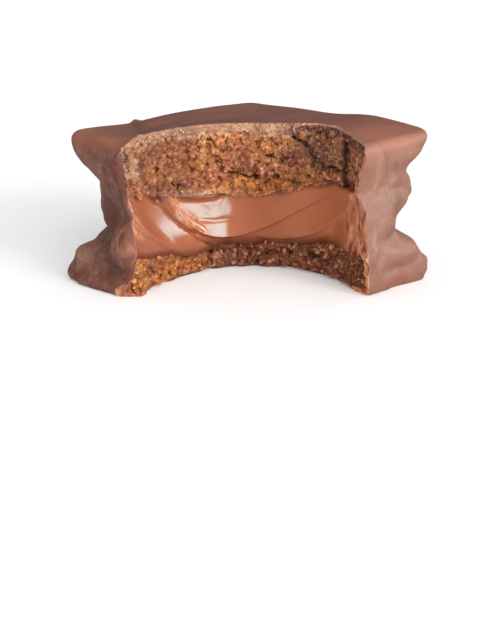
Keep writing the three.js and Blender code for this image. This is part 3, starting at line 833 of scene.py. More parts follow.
def inner_form(inset, material):
    """The closed form inside the coating. It stays inset behind the outside and behind its hollows."""
    shift = inset - SIDE_COAT
    top, bottom = HEIGHT - TOP_COAT - shift, BASE_COAT + shift
    edge = top - TOP_EDGE * (1 - np.cos(np.linspace(0, pi / 2, 7)))
    side = np.concatenate([edge, np.linspace(top - TOP_EDGE, bottom, INNER_ROWS)[1:]])
    lid = np.linspace(0, 1, INNER_LID_RINGS)[:-1]
    heights = np.concatenate([np.full(len(lid), top), side, [bottom]])
    shares = np.concatenate([lid, np.ones(len(side)), [0]])

    def at(row, angle):
        z = heights[row]
        radius = shares[row] * inner_radius(angle, z, inset)
        x, y = radius * np.cos(angle), radius * np.sin(angle)
        thick = np.abs(noise(COAT_UNDERSIDE[0], x, y, 0)) + np.abs(noise(COAT_UNDERSIDE[1], x, y, 0))
        uneven = np.minimum(0, top_relief(x, y)) - thick * ramp(x + y, *UNDERSIDE_STARTS)
        return x, y, z + ramp(z, *LID_STARTS) * uneven

    return wrapped("inner_form", len(heights) - 1, INNER_COLUMNS, at, material)


def coat_depth(x, y, z):
    """How deep a place lies under the side or the top of the coating, whichever is nearer."""
    angle = np.arctan2(y, x)
    plain = plain_side(angle, z, edge_inset(z))
    return np.minimum(plain + relief_at(plain, angle, z) - np.hypot(x, y), HEIGHT + top_relief(x, y) - z)


# %% The broken edge
SMALL_CHIPS = Lumps(0.9, 0.16, 33)
# where the broken edge stands proud of the arc: u, z, half size along u, half size upwards, how far
PROUD_PLACES = [(22.5, 23.5, 4, 3.4, 1.5), (22.5, 3, 4, 5, -0.3)]
EDGE_RADIUS = (0.3, 1.5)  # of the chipped edge, and of the smeared one on the left
SMEAR_LEFT, SMEAR_FROM, SMEAR_TO = (21.5, 23.5), (2.5, 5), (27, 30)  # along -u, and two heights
SMEAR_CALMS = 0.7
CRUMBLY = [Lumps(1.3, 0.35, 35), Lumps(0.65, 0.28, 36)]
CRUMBLY_TOP = (28.6, 29.4)
CRUMBLY_RIGHT = (17, 20)
UNDER_CHIP = 1.3  # the bottom has chipped further back
UNDER_HEIGHT = 0.5
UNDER_ENDS = (19, 22)
UNDER_CHIPS = Lumps(1.8, 0.8, 34)
COAT_STEP = 0.2
COAT_SET_BACK = -0.2
CUT_BELOW, CUT_ABOVE = -2, 3  # how far the cut reaches past the underside and the top


def break_relief(u, z):
    """Chips of the broken chocolate. Left of the bite it is smeared smooth, with a rounded edge."""
    left = ramp(-u, *SMEAR_LEFT) * ramp(z, *SMEAR_FROM) * (1 - ramp(z, *SMEAR_TO))
    out = (noise(CHIPS, u, 0, z) + noise(SMALL_CHIPS, u, 0, z)) * (1 - SMEAR_CALMS * left)
    for place_u, place_z, along, tall, lift in PROUD_PLACES:
        out = out + lift * spot(u - place_u, z - place_z, along, tall)
    x, y, _ = from_bite(u, bite_arc(u, z), z)
    radius = mix(*EDGE_RADIUS, left)
    out = out - radius * np.clip(1 - coat_depth(x, y, z) / radius, 0, 1) ** 2
    crumbly = np.maximum(ramp(z, *CRUMBLY_TOP), ramp(u, *CRUMBLY_RIGHT))
    out = out + crumbly * (noise(CRUMBLY[0], u, 0, z) + noise(CRUMBLY[1], u, 0, z))
    under = 1 - ramp(z, BASE_COAT, BASE_COAT + UNDER_HEIGHT)
    return out - under * (1 - ramp(np.abs(u), *UNDER_ENDS)) * (UNDER_CHIP + noise(UNDER_CHIPS, u, 0, 0))


coating = wrapped("coating_chocolate", len(OUTSIDE_SHARES) - 1, COLUMNS, coating_outside, chocolate)
combine(coating, inner_form(SIDE_COAT, broken), "DIFFERENCE")
cut = bite_tool(COAT_STEP, COAT_SET_BACK, CUT_BELOW, HEIGHT + CUT_ABOVE, break_relief, broken)
combine(coating, cut, "DIFFERENCE")
print("coating:", len(coating.data.polygons), "faces,", [m.name for m in coating.data.materials])

# %% [markdown]
# ## Marks on the chocolate
# The chocolate is scuffed, cracked and dusty with bloom, and it has painted light on its upper
# edges, painted shade in its creases, its hollows and behind its rim, and painted sheen on its
# right side and left foot. Such marks have a place of their own, so they are put down one by one as
# soft ragged spots and lines, and each kind is stored on the mesh as a number that the material reads.

# %% Where the marks are
RAGGED = [Lumps(1.9, 0.5, seed) for seed in (91, 92, 93)]
# middle, half sizes and strength of each spot
# painted shade: the creases and hollows of the right side, and the left side, which faces away from the lamps
PAINTED_SHADE_PLACES = [
    ((27, 14.4, 26.4), (6, 2.6, 1.3), 0.4), ((27, 15.4, 18.6), (6, 1.8, 3.4), 0.65),
    ((27, 13.6, 11.9), (6, 3, 1.5), 0.5), ((-14.5, -27, 15), (3.6, 7, 7), 0.95),
    ((-13, -27, 6), (4.5, 6, 5), 0.75), ((-21, -27, 27.2), (5, 5, 2.2), 0.4),
    ((-10, -27, 26), (4, 6, 5), 0.5), ((-23, -27, 2), (6, 6, 2), 0.4),
]
# painted light: the upper edges of the top, made lighter where light falls on them
LIT_EDGE_PLACES = [
    ((-26, -26, 32), (9, 5, 3), 0.7), ((-14, -26, 32), (7, 3, 2), 0.5), ((23, 13, 32.5), (8, 10, 2.5), 0.95),
    ((27, 9, 31), (3, 9, 2), 0.4),
]
# dusty bloom on the left side, and painted sheen on the lit right side and a painted highlight on the left
# foot
BLOOM_AND_SHEEN_PLACES = [
    ((27, 13.0, 23.3), (6, 3.2, 1.8), 0.45), ((27, 9, 26), (6, 1.6, 6), 0.35),
    ((-24, -28, 6.5), (5, 5, 2), 0.6), ((27, 8.6, 12), (6, 0.9, 4), 0.5),
    ((-22, -27, 22), (4, 6, 5), 0.65), ((-11.5, -27, 14), (1.6, 5, 8), 0.2),
    ((27, 20, 10), (4, 5, 3), 0.3), ((27, 17, 29), (4, 6, 2), 0.3), ((27, 11, 17), (6, 14, 15), 0.22),
]
# cracks and scratches on the right side, as points (y, z), and on the top, as points (u, w), dark
# lines that are mostly painted shadow behind the raised rim, with their half widths
SIDE_LINES = [
    ([(8.9, 31.6), (11.0, 28.1), (11.6, 24.0), (11.9, 19.8)], 0.26),
    ([(7.2, 7.2), (9.2, 6.5)], 0.3), ([(14.8, 5.6), (18.8, 4.8)], 0.25),
]
TOP_SHADOW_LINES = [
    ([(-24.4, -10.3), (-23.4, -3.5), (-22.5, 1.9)], 0.7), ([(-21.5, 2), (-18.9, -4.6), (-13, -12.6)], 0.9),
    ([(-14, -5.4), (-9, -9.2), (-3, -10.6), (3, -10.4)], 1.3),
]


def store(piece, name, values):
    """Stores one number for each point of the piece."""
    known = piece.data.attributes
    attribute = known.get(name) or known.new(name, "FLOAT", "POINT")
    attribute.data.foreach_set("value", np.ascontiguousarray(values, np.float32))


def spots(marks, x, y, z):
    """How close a place is to the nearest of some marks."""
    ragged = [v + noise(lumps, x, y, z) for v, lumps in zip((x, y, z), RAGGED)]
    out = np.zeros_like(x)
    for centre, half, strength in marks:
        away = sum(((v - c) / h) ** 2 for v, c, h in zip(ragged, centre, half))
        out = np.maximum(out, strength * np.exp(-away))
    return out


def on_lines(lines, a, b):
    return np.max([on_line(points, half_width, a, b) for points, half_width in lines], axis=0)


# %% Marks on the coating
TOP_BREAK = (29.0, 30.2)  # heights between which the broken side becomes the broken top
TAN_STARTS, TAN_ENDS = (-16, -8), (4, 13)  # u of the tan part of it
TAN_EDGE = Lumps(2.2, 3.0, 94)
SKIN_AND_HIGHLIGHT_EDGE = Lumps(1.5, 0.15, 96)
LEFT_STREAKS = Lumps(1.6, 1, 97)
x, y, z = points_of(coating).T
u, w = to_bite(x, y)
top = ramp(z, *TOP_BREAK)
tan_u = u + noise(TAN_EDGE, u, 0, 0)
left_foot = 0.5 * (1 - ramp(z, 2.2, 3.6)) * ramp(-u, 16, 18)
left_wall = 0.25 * (1 - ramp(z, 8, 22)) * ramp(noise(LEFT_STREAKS, u + w, 0, z), -0.3, 0.5) * ramp(-u, 19, 21)
inner = np.hypot(x, y) - inner_radius(np.arctan2(y, x), z, SIDE_COAT)
inner_edge = 1 - ramp(np.where((top > 0.5) | (z < 4) | (u > 0), 9, inner), 0, 0.3)
# the outer rim of the break: paler skin and a painted edge highlight
outer_edge = (1 - ramp(coat_depth(x, y, z) + noise(SKIN_AND_HIGHLIGHT_EDGE, u, 0, z), 0.2, 0.5)) * ramp(u, 7, 12)
# painted shadow lines on the top behind the rim, and the side's real cracks and scratches
lines = np.maximum(0.55 * on_lines(SIDE_LINES, y, z) * (x > 24), 0.4 * on_lines(TOP_SHADOW_LINES, u, w) * (z > 31))
for name, values in {
    "gritty": top * mix(0.6, 1, ramp(u, -6, 6)),
    "tan": top * (1 - ramp(tan_u, *TAN_ENDS)) * mix(0.8, 1, ramp(tan_u, *TAN_STARTS)),
    "crumby": (1 - top) * np.max([ramp(u, 16, 19), left_foot, left_wall], axis=0),
    "skin_and_highlight": np.maximum(0.35 * inner_edge, 0.85 * outer_edge),
    "shade_and_cracks": np.maximum(spots(PAINTED_SHADE_PLACES, x, y, z), lines),
    "lit_edges": spots(LIT_EDGE_PLACES, x, y, z),
    "bloom_and_sheen": spots(BLOOM_AND_SHEEN_PLACES, x, y, z),
    "mottled": ramp(-y, 20, 25) * (1 - ramp(z, 28, 31)),
}.items():
    store(coating, name, values)
    print(name, "up to", round(float(values.max()), 2))

# %% [markdown]
# ## The layers
# The biscuits and the cream fill the coating, so they come from the same inner form, divided by two
# sagging faces. They reach a hair into the coating and into each other, so that no gap shows.

# %% Faces between the layers
OVERLAP = 0.08
SLAB_RADII = np.array([0, 6, 12, 17, 20, 23, 26, 29, 32, 36, 46])
SLAB_COLUMNS = 160
SLAB_PAST = 1  # how far the outer slabs reach past the top and the underside
SEAM = Lumps(2.4, 0.35, 41)  # the unevenness of the faces between the layers
SEAM_SHIFT = 50  # so that the two faces differ
# how far each layer is from the arc, and the heights between which it is cut
SET_BACK = {"lid_biscuit": 0.3, "cream_filling": 1.1, "base_biscuit": 0.1}
RANGE = {"lid_biscuit": (13.5, 33), "cream_filling": (3, 25), "base_biscuit": (-1.5, 12)}


def sagging(face, places, x, y):
    middle, rise = face
    return middle + rise * np.minimum((x**2 + y**2) / RIM**2, HIGHEST) + waves(places, x, y)


def cream_floor(x, y):
    return sagging(CREAM_FLOOR, FLOOR_PLACES, x, y) + noise(SEAM, x, y, 0)


def cream_ceiling(x, y):
    return sagging(CREAM_CEILING, CEILING_PLACES, x, y) + noise(SEAM, x, y, SEAM_SHIFT)


def slab(low, high):
    """Everything between two faces, out past the coating."""
    rings = np.concatenate([SLAB_RADII, SLAB_RADII[::-1]])

    def at(row, angle):
        x, y = rings[row] * np.cos(angle), rings[row] * np.sin(angle)
        return x, y, np.where(row < len(SLAB_RADII), high(x, y), low(x, y))

    return wrapped("slab", len(rings) - 1, SLAB_COLUMNS, at, biscuit)


def flat(z):
    return lambda x, y: np.full_like(x, z)


def layer(name, low, high, step, relief, material):
    """One layer of the filling, bitten off at the front."""
    piece = inner_form(SIDE_COAT - OVERLAP, material)
    piece.name = name
    combine(piece, slab(low, high), "INTERSECT")
    combine(piece, bite_tool(step, SET_BACK[name], *RANGE[name], relief, material), "DIFFERENCE")
    return piece


# %% [markdown]
# ## Cracks in the biscuit
# A torn biscuit opens along cracks between its layers of crumb. They are too deep for a texture, so
# the cutting sheet dips in along a few lines before the crumb is added.

# %% Cracks
# points (u, z), half width, depth
LID_CRACKS = [
    ([(-4.6, 21.5), (-2.6, 20.8), (-0.7, 20.3), (1.2, 20.5), (3.0, 20.0)], 0.34, 1.5),
    ([(5.2, 20.6), (7.0, 20.2), (8.6, 19.5), (10.8, 18.9)], 0.34, 1.4),
    ([(-9.4, 29.2), (-8.2, 28.4), (-7.4, 27.0), (-6.2, 26.4)], 0.5, 1.0),
    ([(9.0, 28.8), (10.4, 28.2), (12.2, 27.0)], 0.5, 1.5),
    ([(12.9, 26.0), (13.7, 24.4), (13.8, 23.4)], 0.45, 1.4),
    ([(15.4, 22.7), (17.0, 23.0), (18.6, 23.3)], 0.55, 1.9),
    ([(19.9, 29.6), (19.7, 27.6), (19.8, 25.4), (19.6, 23.2), (20.1, 21.4), (20.1, 19.6)], 0.6, 3.2),
    ([(17.6, 19.5), (19.3, 20.0)], 0.4, 1.4),
    ([(-17.6, 20.8), (-16.0, 20.2), (-14.0, 19.2)], 0.6, 0.9),
    ([(3.4, 24.8), (5.4, 24.6), (7.6, 23.9)], 0.4, 1.1),
    ([(-25.2, 28.8), (-24.4, 27.2)], 0.6, 1.2),
]
BASE_CRACKS = [
    ([(-9.0, 4.6), (-6.4, 4.2), (-3.6, 4.4)], 0.35, 0.9),
    ([(4.0, 3.4), (7.0, 3.9), (9.6, 3.6)], 0.4, 1.1),
    ([(13.0, 4.4), (15.6, 3.6), (17.6, 3.9)], 0.45, 1.2),
]
WANDER = [Lumps(1.1, 0.3, 61), Lumps(1.1, 0.3, 62)]


def nearness(cracks, u, z):
    """For each crack, how near a place is to it, from 0 to 1, and its depth."""
    moved_u, moved_z = u + noise(WANDER[0], u, 0, z), z + noise(WANDER[1], u, 0, z)
    return [(on_line(points, half_width, moved_u, moved_z), depth) for points, half_width, depth in cracks]


def torn(cracks):
    """The relief of a torn biscuit before its grains: crags, and cracks that wander."""
    def relief(u, z):
        out = noise(CRAGS[0], u, 0, z) + noise(CRAGS[1], u, 0, z)
        for near, depth in nearness(cracks, u, z):
            out = out - depth * near
        return out
    return relief


# %% Biscuits
BISCUIT_STEP = 0.14
above, below = flat(HEIGHT + SLAB_PAST), flat(-SLAB_PAST)
lid = layer("lid_biscuit", cream_ceiling, above, BISCUIT_STEP, torn(LID_CRACKS), biscuit)
base = layer("base_biscuit", below, cream_floor, BISCUIT_STEP, torn(BASE_CRACKS), biscuit)
print("biscuits:", len(lid.data.polygons), len(base.data.polygons), "faces")

# %% Where the crumb changes colour
PALE_TOP = (28.6, 30.0)  # heights
PALE_EDGE = Lumps(1.6, 0.9, 95)
PALE_ENDS = (9, 14)  # u
LEFT_END = [(-24.2, 28), (-23.9, 24)]


def shaded_share(u, z):
    """Where the crumb is darker: at the right and at the far left, and most of the base."""
    in_lid = 0.55 * ramp(-u, 8, 14) + 0.55 * spot(u - 14, z - 26.5, 5, 4)
    in_base = 0.36 + 0.52 * ramp(u, -12, -3) - 0.1 * ramp(u, 6, 16)
    return mix(in_base, in_lid, ramp(z, 12, 15))


def gold_share(u, z):
    """Where the crumb is more golden: the left end of the base and the underside of the lid."""
    in_base = (1 - ramp(u, -13, -6)) * (1 - ramp(z, 8, 12))
    return np.maximum(in_base, 0.8 * spot(u - 3, z - 19, 8, 1.8))


def mauve_share(u, z):
    """Where it is moist: the upper right of the lid."""
    return spot(u - 15, z - 26, 6, 5)


def pale_share(u, z):
    """Where chocolate has soaked in: the top of the lid, its left end, and part of its underside."""
    shift = noise(PALE_EDGE, u, 0, z)
    edge = z + shift
    on_top = ramp(edge, *PALE_TOP) * (1 - ramp(u, *PALE_ENDS)) * mix(0.4, 1, ramp(u, -17, -8))
    left_end = 0.5 * (1 - ramp(distance_to_line(LEFT_END, shift + u, edge), 0.8, 1.6))
    x, y, _ = from_bite(u, bite_arc(u, z), z)
    below = 0.8 * spot(u + 10, 0, 5, 1) * (1 - ramp(edge - cream_ceiling(x, y), 0.3, 1.4)) * (z > 13)
    return np.max([on_top, left_end, below], axis=0)


def crack_shade_share(cracks, u, z):
    """Painted shade where the crumb lies in a crack, and the deeper the crack, the more."""
    return np.max([near * min(depth / 2, 0.9) for near, depth in nearness(cracks, u, z)], axis=0)


SHARES = {"shade": shaded_share, "pale": pale_share, "gold": gold_share, "mauve": mauve_share}
for piece, cracks in ((lid, LID_CRACKS), (base, BASE_CRACKS)):
    x, y, z = points_of(piece).T
    u = to_bite(x, y)[0]
    for name, share in SHARES.items():
        store(piece, name, share(u, z))
    store(piece, "crack_shade", crack_shade_share(cracks, u, z))
print("numbers on the lid:", [a.name for a in lid.data.attributes])

# %% [markdown]
# ## The cream
# Teeth leave smooth scoops in soft cream, and each scoop ends in a thin raised lip where the cream
# was pushed aside. A lip is a bent line with a slow rise on one side and a sudden drop on the other.
# Where the cream was pulled apart it is drawn out into fine strands, which run beside a line.

# %% Tooth marks
# a bent line through (u, z), how high its lip is, how far the slow side reaches, how sudden the drop is,
# and the part of a half wave that its height follows from start to end
Mark = namedtuple("Mark", "start bend end lift reach drop swell")
TOOTH_MARKS = [
    Mark((-14.5, 16.5), (-10.5, -3.6), (20.5, 20.0), 2.0, 9.0, 0.3, (0.0, 0.9)),
    Mark((3.0, 6.6), (17.0, 5.5), (20.8, 19.5), 1.1, 5.0, 0.35, (0.12, 0.9)),
    Mark((-24.2, 21.0), (-21.5, 9.5), (-13.5, 4.6), 0.7, 1.6, 0.4, (0.12, 0.9)),
    Mark((-10.6, 7.0), (-17.6, 11.1), (-19.4, 18.8), 3.2, 6.4, 0.25, (0.42, 0.97)),
]
SCOOP = TOOTH_MARKS[0]  # to its left the cream is cut flatter than the bite
SCOOP_FROM, SCOOP_REACH, SCOOP_DEPTH = -8, 6, 1.1
LINE_STEPS = 60


def beside(mark, u, z):
    """Distance from a bent line, the place along it from 0 to 1, and 1 above it or -1 below."""
    t = np.linspace(0, 1, LINE_STEPS)
    start, bend, end = [np.array(p) for p in (mark.start, mark.bend, mark.end)]
    line = np.outer((1 - t) ** 2, start) + np.outer(2 * t * (1 - t), bend) + np.outer(t**2, end)
    best = np.full(u.shape, np.inf)
    where, above = np.zeros(u.shape), np.ones(u.shape)
    for n in range(len(t) - 1):
        run = line[n + 1] - line[n]
        du, dz = u - line[n][0], z - line[n][1]
        k = np.clip((du * run[0] + dz * run[1]) / (run @ run), 0, 1)
        distance = np.hypot(du - k * run[0], dz - k * run[1])
        closer = distance < best
        best = np.where(closer, distance, best)
        where = np.where(closer, (n + k) / (len(t) - 1), where)
        above = np.where(closer, np.sign(run[0] * dz - run[1] * du), above)
    return best, where, above


# %% Grooves, strands and the cream's face
FOLD = [(-18.6, 18.8), (-17.9, 17.2), (-16.9, 14.9), (-15.5, 12.4), (-13.7, 10.2), (-11.6, 8.3)]
HOLE = [(-19.2, 18.8), (-18.6, 17.8)]
# points (u, z), half width, depth
GROOVES = [
    (FOLD, 0.5, 1.1), (HOLE, 0.8, 1.4),
    ([(-13.2, 16.6), (-10.5, 16.1), (-7.5, 16.0), (-5.6, 16.8)], 0.6, 0.9),
    ([(-23.2, 15.5), (-22.0, 13.2), (-20.8, 11.2)], 0.25, -0.3),  # a ridge
    ([(-10.6, 11.4), (-7.6, 10.9), (-4.4, 11.0)], 0.55, 0.12),
    ([(-9.8, 14.2), (-8.6, 12.8)], 0.5, 0.06),
]
SLOW_WAVES = [Lumps(7, 0.2, 71), Lumps(2.6, 0.05, 74)]
LEFT_BULGE = (-14.6, 8.6, 4.6, 2.4, 3.8, 1.3)  # u, z, half sizes left, right and upwards, and lift
SCOOP_CURVE = 1.4
STRANDS_END = 2.5  # they fade out this far above the end of their line
STRANDS_TURN = 3  # how strongly they wander
Strands = namedtuple("Strands", "points spacing height reach wander")
STRANDS = [
    Strands(FOLD, 0.95, 0.09, (0.8, 3.4), Lumps(3.0, 0.9, 72)),
    Strands([(-25.8, 19.5), (-25.0, 16.5), (-24.0, 13.0), (-22.5, 10.0)], 0.8, 0.12, (0.3, 3.0),
            Lumps(2.6, 0.9, 73)),
]


def right_of(points, u, z):
    """Whether a place is to the right of a line that runs down to the right."""
    line = np.array(points)
    return u > np.interp(z, line[::-1, 1], line[::-1, 0])


def strand_share(strand, u, z):
    """1 where the cream was drawn out into fine strands, to the right of their line."""
    distance = distance_to_line(strand.points, u, z)
    start, end = strand.reach
    lowest = strand.points[-1][1]
    there = ramp(distance, start * 0.5, start) * (1 - ramp(distance, start, end))
    return there * ramp(z, lowest, lowest + STRANDS_END) * right_of(strand.points, u, z)


def cream_relief(u, z):
    out = noise(SLOW_WAVES[0], u, 0, z) + noise(SLOW_WAVES[1], u, 0, z)
    for mark in TOOTH_MARKS:
        distance, t, above = beside(mark, u, z)
        fade = np.sin(pi * mix(*mark.swell, t))
        scoop = np.clip(1 - distance / mark.reach, 0, 1) ** SCOOP_CURVE
        out = out + mark.lift * fade * np.where(above > 0, scoop, np.exp(-distance / mark.drop))
        if mark is SCOOP:
            out = out - (above > 0) * SCOOP_DEPTH * np.clip((SCOOP_FROM - u) / SCOOP_REACH, 0, 1) ** 2
    bulge_u, bulge_z, left, right, tall, lift = LEFT_BULGE
    out = out + lift * spot(u - bulge_u, z - bulge_z, np.where(u < bulge_u, left, right), tall)
    for strand in STRANDS:
        turns = distance_to_line(strand.points, u, z) / strand.spacing
        phase = turns * 2 * pi + noise(strand.wander, u, 0, z) * STRANDS_TURN
        out = out + strand.height * strand_share(strand, u, z) * np.sin(phase)
    for points, half_width, depth in GROOVES:
        out = out - depth * on_line(points, half_width, u, z)
    return out


CREAM_STEP = 0.16
cream = layer("cream_filling", cream_floor, cream_ceiling, CREAM_STEP, cream_relief, cream_finish)
print("cream:", len(cream.data.polygons), "faces")

# %% Where the cream changes colour and gloss
FLOOR_SHADE, CEILING_SHADE = (0.2, 2.8), (0.1, 1.0)  # distances over which the shade of each fades
SALMON_LINE = [(-23.5, 10), (-20.5, 7.6)]
CRUMBY_EDGE = Lumps(1.3, 0.5, 83)
x, y, z = points_of(cream).T
u = to_bite(x, y)[0]
hole = 1 - ramp(distance_to_line(HOLE, u, z), 0.8, 1.6)
shadow = np.max([
    0.95 * (1 - ramp(z - cream_floor(x, y), *FLOOR_SHADE)),
    0.6 * (1 - ramp(cream_ceiling(x, y) - z, *CEILING_SHADE)),
    0.9 * hole, 0.32 * ramp(-u, 12, 17),
], axis=0)
left_patch = 1 - ramp(distance_to_line(SALMON_LINE, u, z), 1.2, 3.2)
right_patch = 1 - ramp(np.hypot((u - 18.8) / 1.6, (z - 10.2) / 4), 0.4, 1)
salmon = np.maximum(left_patch, right_patch)
strands = sum(strand_share(strand, u, z) for strand in STRANDS)
tongue = 0.5 * ~right_of(FOLD, u, z) * ramp(-u, 9, 12)
for name, values in {
    "shaded": shadow * (1 - 0.5 * ramp(u, 16, 20)),
    "salmon": 0.8 * salmon,
    # painted light: the cream is lighter towards the right end, which faces away from the lamps
    "lit_right": 0.8 * ramp(u, 3, 13),
    "strands": np.clip(strands, 0, 1),
    "dull": np.max([strands, hole, 0.35 * salmon, tongue], axis=0),
    "crumby": ramp(u + noise(CRUMBY_EDGE, u, 0, z), 20.0, 20.8),
}.items():
    store(cream, name, values)
    print(name, "up to", round(float(values.max()), 2))

# %% Shade the smooth pieces smooth, up to their sharp edges
for piece, sharpest in ((coating, 40), (cream, 50)):
    piece.data.shade_smooth()
    piece.data.set_sharp_from_angle(angle=radians(sharpest))

# %% [markdown]
# ## Grains of the torn biscuit
# Crumb is a heap of grains with pores between them, which follows a rule, so Geometry Nodes make
# it. Two sizes of cells from a Voronoi texture push the torn face in and out, and noise opens the
# pores. The same textures are stored as two numbers, the tone of each grain and the painted shade
# of each pore and crevice, so that both sit exactly on the form. The number bitten says how far each
# point may move, so that only the torn face does.

# %% Crumb tree
def run_tree(piece, tree, values):
    """Runs a tree on a piece, sets its inputs by their identifiers, and settles the result."""
    step = piece.modifiers.new(tree.name, "NODES")
    step.node_group = tree
    identifiers = {item.name: item.identifier for item in tree.interface.items_tree if item.in_out == "INPUT"}
    for key, value in values.items():
        step[identifiers[key]] = value
    settle(piece)


def stored_number(tree, name):
    node = add_node(tree, "GeometryNodeInputNamedAttribute", {"Name": name}, data_type="FLOAT")
    return node.outputs["Attribute"]


def scaled(tree, vector, factor):
    return add_node(tree, "ShaderNodeVectorMath", {0: vector, "Scale": factor}, operation="SCALE").outputs[0]


def moved_by(tree, geometry, offset):
    return add_node(tree, "GeometryNodeSetPosition", {"Geometry": geometry, "Offset": offset}).outputs[0]


def keep_number(tree, geometry, name, value, domain="POINT"):
    """Stores a number on a geometry."""
    inputs = {"Geometry": geometry, "Name": name, "Value": value}
    node = add_node(tree, "GeometryNodeStoreNamedAttribute", inputs, data_type="FLOAT", domain=domain)
    return node.outputs[0]


def paint(tree, geometry, material, result):
    """Sets the material and ends the tree."""
    painted = add_node(tree, "GeometryNodeSetMaterial", {"Geometry": geometry, "Material": material})
    tree.links.new(painted.outputs[0], result[0])


crumb, given, result = new_tree("GeometryNodeTree", "torn_crumb", {
    "Geometry": "Geometry", "Grain size": 0.001, "Grain height": 0.0004, "Pore size": 0.0012,
    "Pore depth": 0.0007, "Material": "Material",
}, {"Geometry": "Geometry"})
where = add_node(crumb, "GeometryNodeInputPosition").outputs[0]


def cells(size_factor):
    """Distance to the middle of a grain, its lift, which is highest there, and its own two numbers."""
    scale = math(crumb, "DIVIDE", size_factor, given["Grain size"])
    node = add_node(crumb, "ShaderNodeTexVoronoi", {"Vector": where, "Scale": scale})
    parts = add_node(crumb, "FunctionNodeSeparateColor", {"Color": node.outputs["Color"]}).outputs
    distance = node.outputs["Distance"]
    return distance, math(crumb, "SUBTRACT", parts["Red"], times(crumb, distance, distance)), parts


big_distance, big, big_parts = cells(1.0)
small_distance, small, small_parts = cells(1.9)
pore_scale = math(crumb, "DIVIDE", 1.0, given["Pore size"])
pore = ramp_node(crumb, noise_node(crumb, where, pore_scale, 2.0), 0.56, 0.70)
lift = times(crumb, math(crumb, "ADD", big, times(crumb, small, 0.5)), given["Grain height"])
lift = math(crumb, "SUBTRACT", lift, times(crumb, pore, given["Pore depth"]))
lift = times(crumb, lift, stored_number(crumb, "bitten"))
normal = add_node(crumb, "GeometryNodeInputNormal").outputs[0]
shaped = moved_by(crumb, given["Geometry"], scaled(crumb, normal, lift))
tone = 0.0
for part, of_big, of_small in (("Green", 0.2, 0.4), ("Red", 0.15, 0.25)):
    tone = math(crumb, "MULTIPLY_ADD", big_parts[part], of_big, tone)
    tone = math(crumb, "MULTIPLY_ADD", small_parts[part], of_small, tone)
# painted shade in the pores and in the crevices between grains
crevice = ramp_node(crumb, math(crumb, "ADD", big_distance, times(crumb, small_distance, 0.4)), 0.75, 1.05)
pit_shade = math(crumb, "MAXIMUM", pore, times(crumb, crevice, 0.3))
shaped = keep_number(crumb, keep_number(crumb, shaped, "tone", tone), "pit_shade", pit_shade)
paint(crumb, shaped, given["Material"], result)


NUDGE = 0.05
TORN_DEPTH = (2.4, 3.4)  # the crumb fades out over this depth behind the bitten face


def behind_bite(x, y, z, set_back=0):
    """How far a place lies behind the bitten face of a layer."""
    u, w = to_bite(x, y)
    slope = (bite_arc(u + NUDGE, HALF_WAY) - bite_arc(u - NUDGE, HALF_WAY)) / (2 * NUDGE)
    return (bite_arc(u, z) - set_back - w) / np.hypot(1, slope)


for piece in (lid, base):
    behind = behind_bite(*points_of(piece).T, SET_BACK[piece.name])
    store(piece, "bitten", 1 - ramp(behind, *TORN_DEPTH))
    run_tree(piece, crumb, {
        "Grain size": 0.0015, "Grain height": 0.0006, "Pore size": 0.0014, "Pore depth": 0.0009,
        "Material": biscuit,
    })
print("crumb done:", [a.name for a in lid.data.attributes])

# %% [markdown]
# ## Loose crumbs
# Crumbs cling to every torn face. They are scattered at random points with a fixed seed, each a
# small ball of a few faces that is turned, scaled, squeezed and dented at random, and realized into
# one mesh. They keep the numbers of the place where they lie, so they take its colours.

# %% Scatter tree
scatter, given, result = new_tree("GeometryNodeTree", "loose_crumbs", {
    "Geometry": "Geometry", "Spacing": 0.0008, "Density": 400000.0, "Smallest": 0.0002, "Largest": 0.0005,
    "Seed": 1, "Material": "Material",
}, {"Geometry": "Geometry"})


def random_vector(low, high, seed):
    inputs = {"Min": low, "Max": high, "Seed": seed}
    return add_node(scatter, "FunctionNodeRandomValue", inputs, data_type="FLOAT_VECTOR").outputs[0]


def random_number(inputs):
    """A random value from input 2 to input 3 of the node, which are its lowest and highest number."""
    return add_node(scatter, "FunctionNodeRandomValue", inputs, data_type="FLOAT").outputs[1]


FULL_TURN = 6.3
spread = add_node(scatter, "GeometryNodeDistributePointsOnFaces", {
    "Mesh": given["Geometry"], "Distance Min": given["Spacing"], "Density Max": given["Density"],
    "Density Factor": stored_number(scatter, "scatter"), "Seed": given["Seed"],
}, distribute_method="POISSON")
ball = add_node(scatter, "GeometryNodeMeshIcoSphere", {"Radius": 1.0, "Subdivisions": 1})
size = random_number({2: given["Smallest"], 3: given["Largest"]})
squeeze = random_vector((0.6, 0.6, 0.5), (1.2, 1.1, 1.0), 9)
placed = add_node(scatter, "GeometryNodeInstanceOnPoints", {
    "Points": spread.outputs["Points"], "Instance": ball.outputs["Mesh"],
    "Rotation": random_vector((0, 0, 0), (FULL_TURN,) * 3, 5), "Scale": scaled(scatter, squeeze, size),
}).outputs[0]
placed = keep_number(scatter, placed, "tone", random_number({"Seed": 17}), "INSTANCE")
real = add_node(scatter, "GeometryNodeRealizeInstances", {"Geometry": placed}).outputs[0]
where = add_node(scatter, "GeometryNodeInputPosition").outputs[0]
dents = add_node(scatter, "ShaderNodeTexNoise", {"Vector": where, "Scale": 2400.0, "Detail": 1.0})
centred = add_node(scatter, "ShaderNodeVectorMath", {0: dents.outputs["Color"], 1: (0.5, 0.5, 0.5)},
                   operation="SUBTRACT").outputs[0]
paint(scatter, moved_by(scatter, real, scaled(scatter, centred, 0.0003)), given["Material"], result)

# %% Crumbs and pale grains
HEAPS = Lumps(3, 1, 81)
CRUMB_DEPTH = (2.6, 3.4)  # crumbs lie up to this far behind the arc
OFF_FLOOR = (0.4, 0.9)  # heights


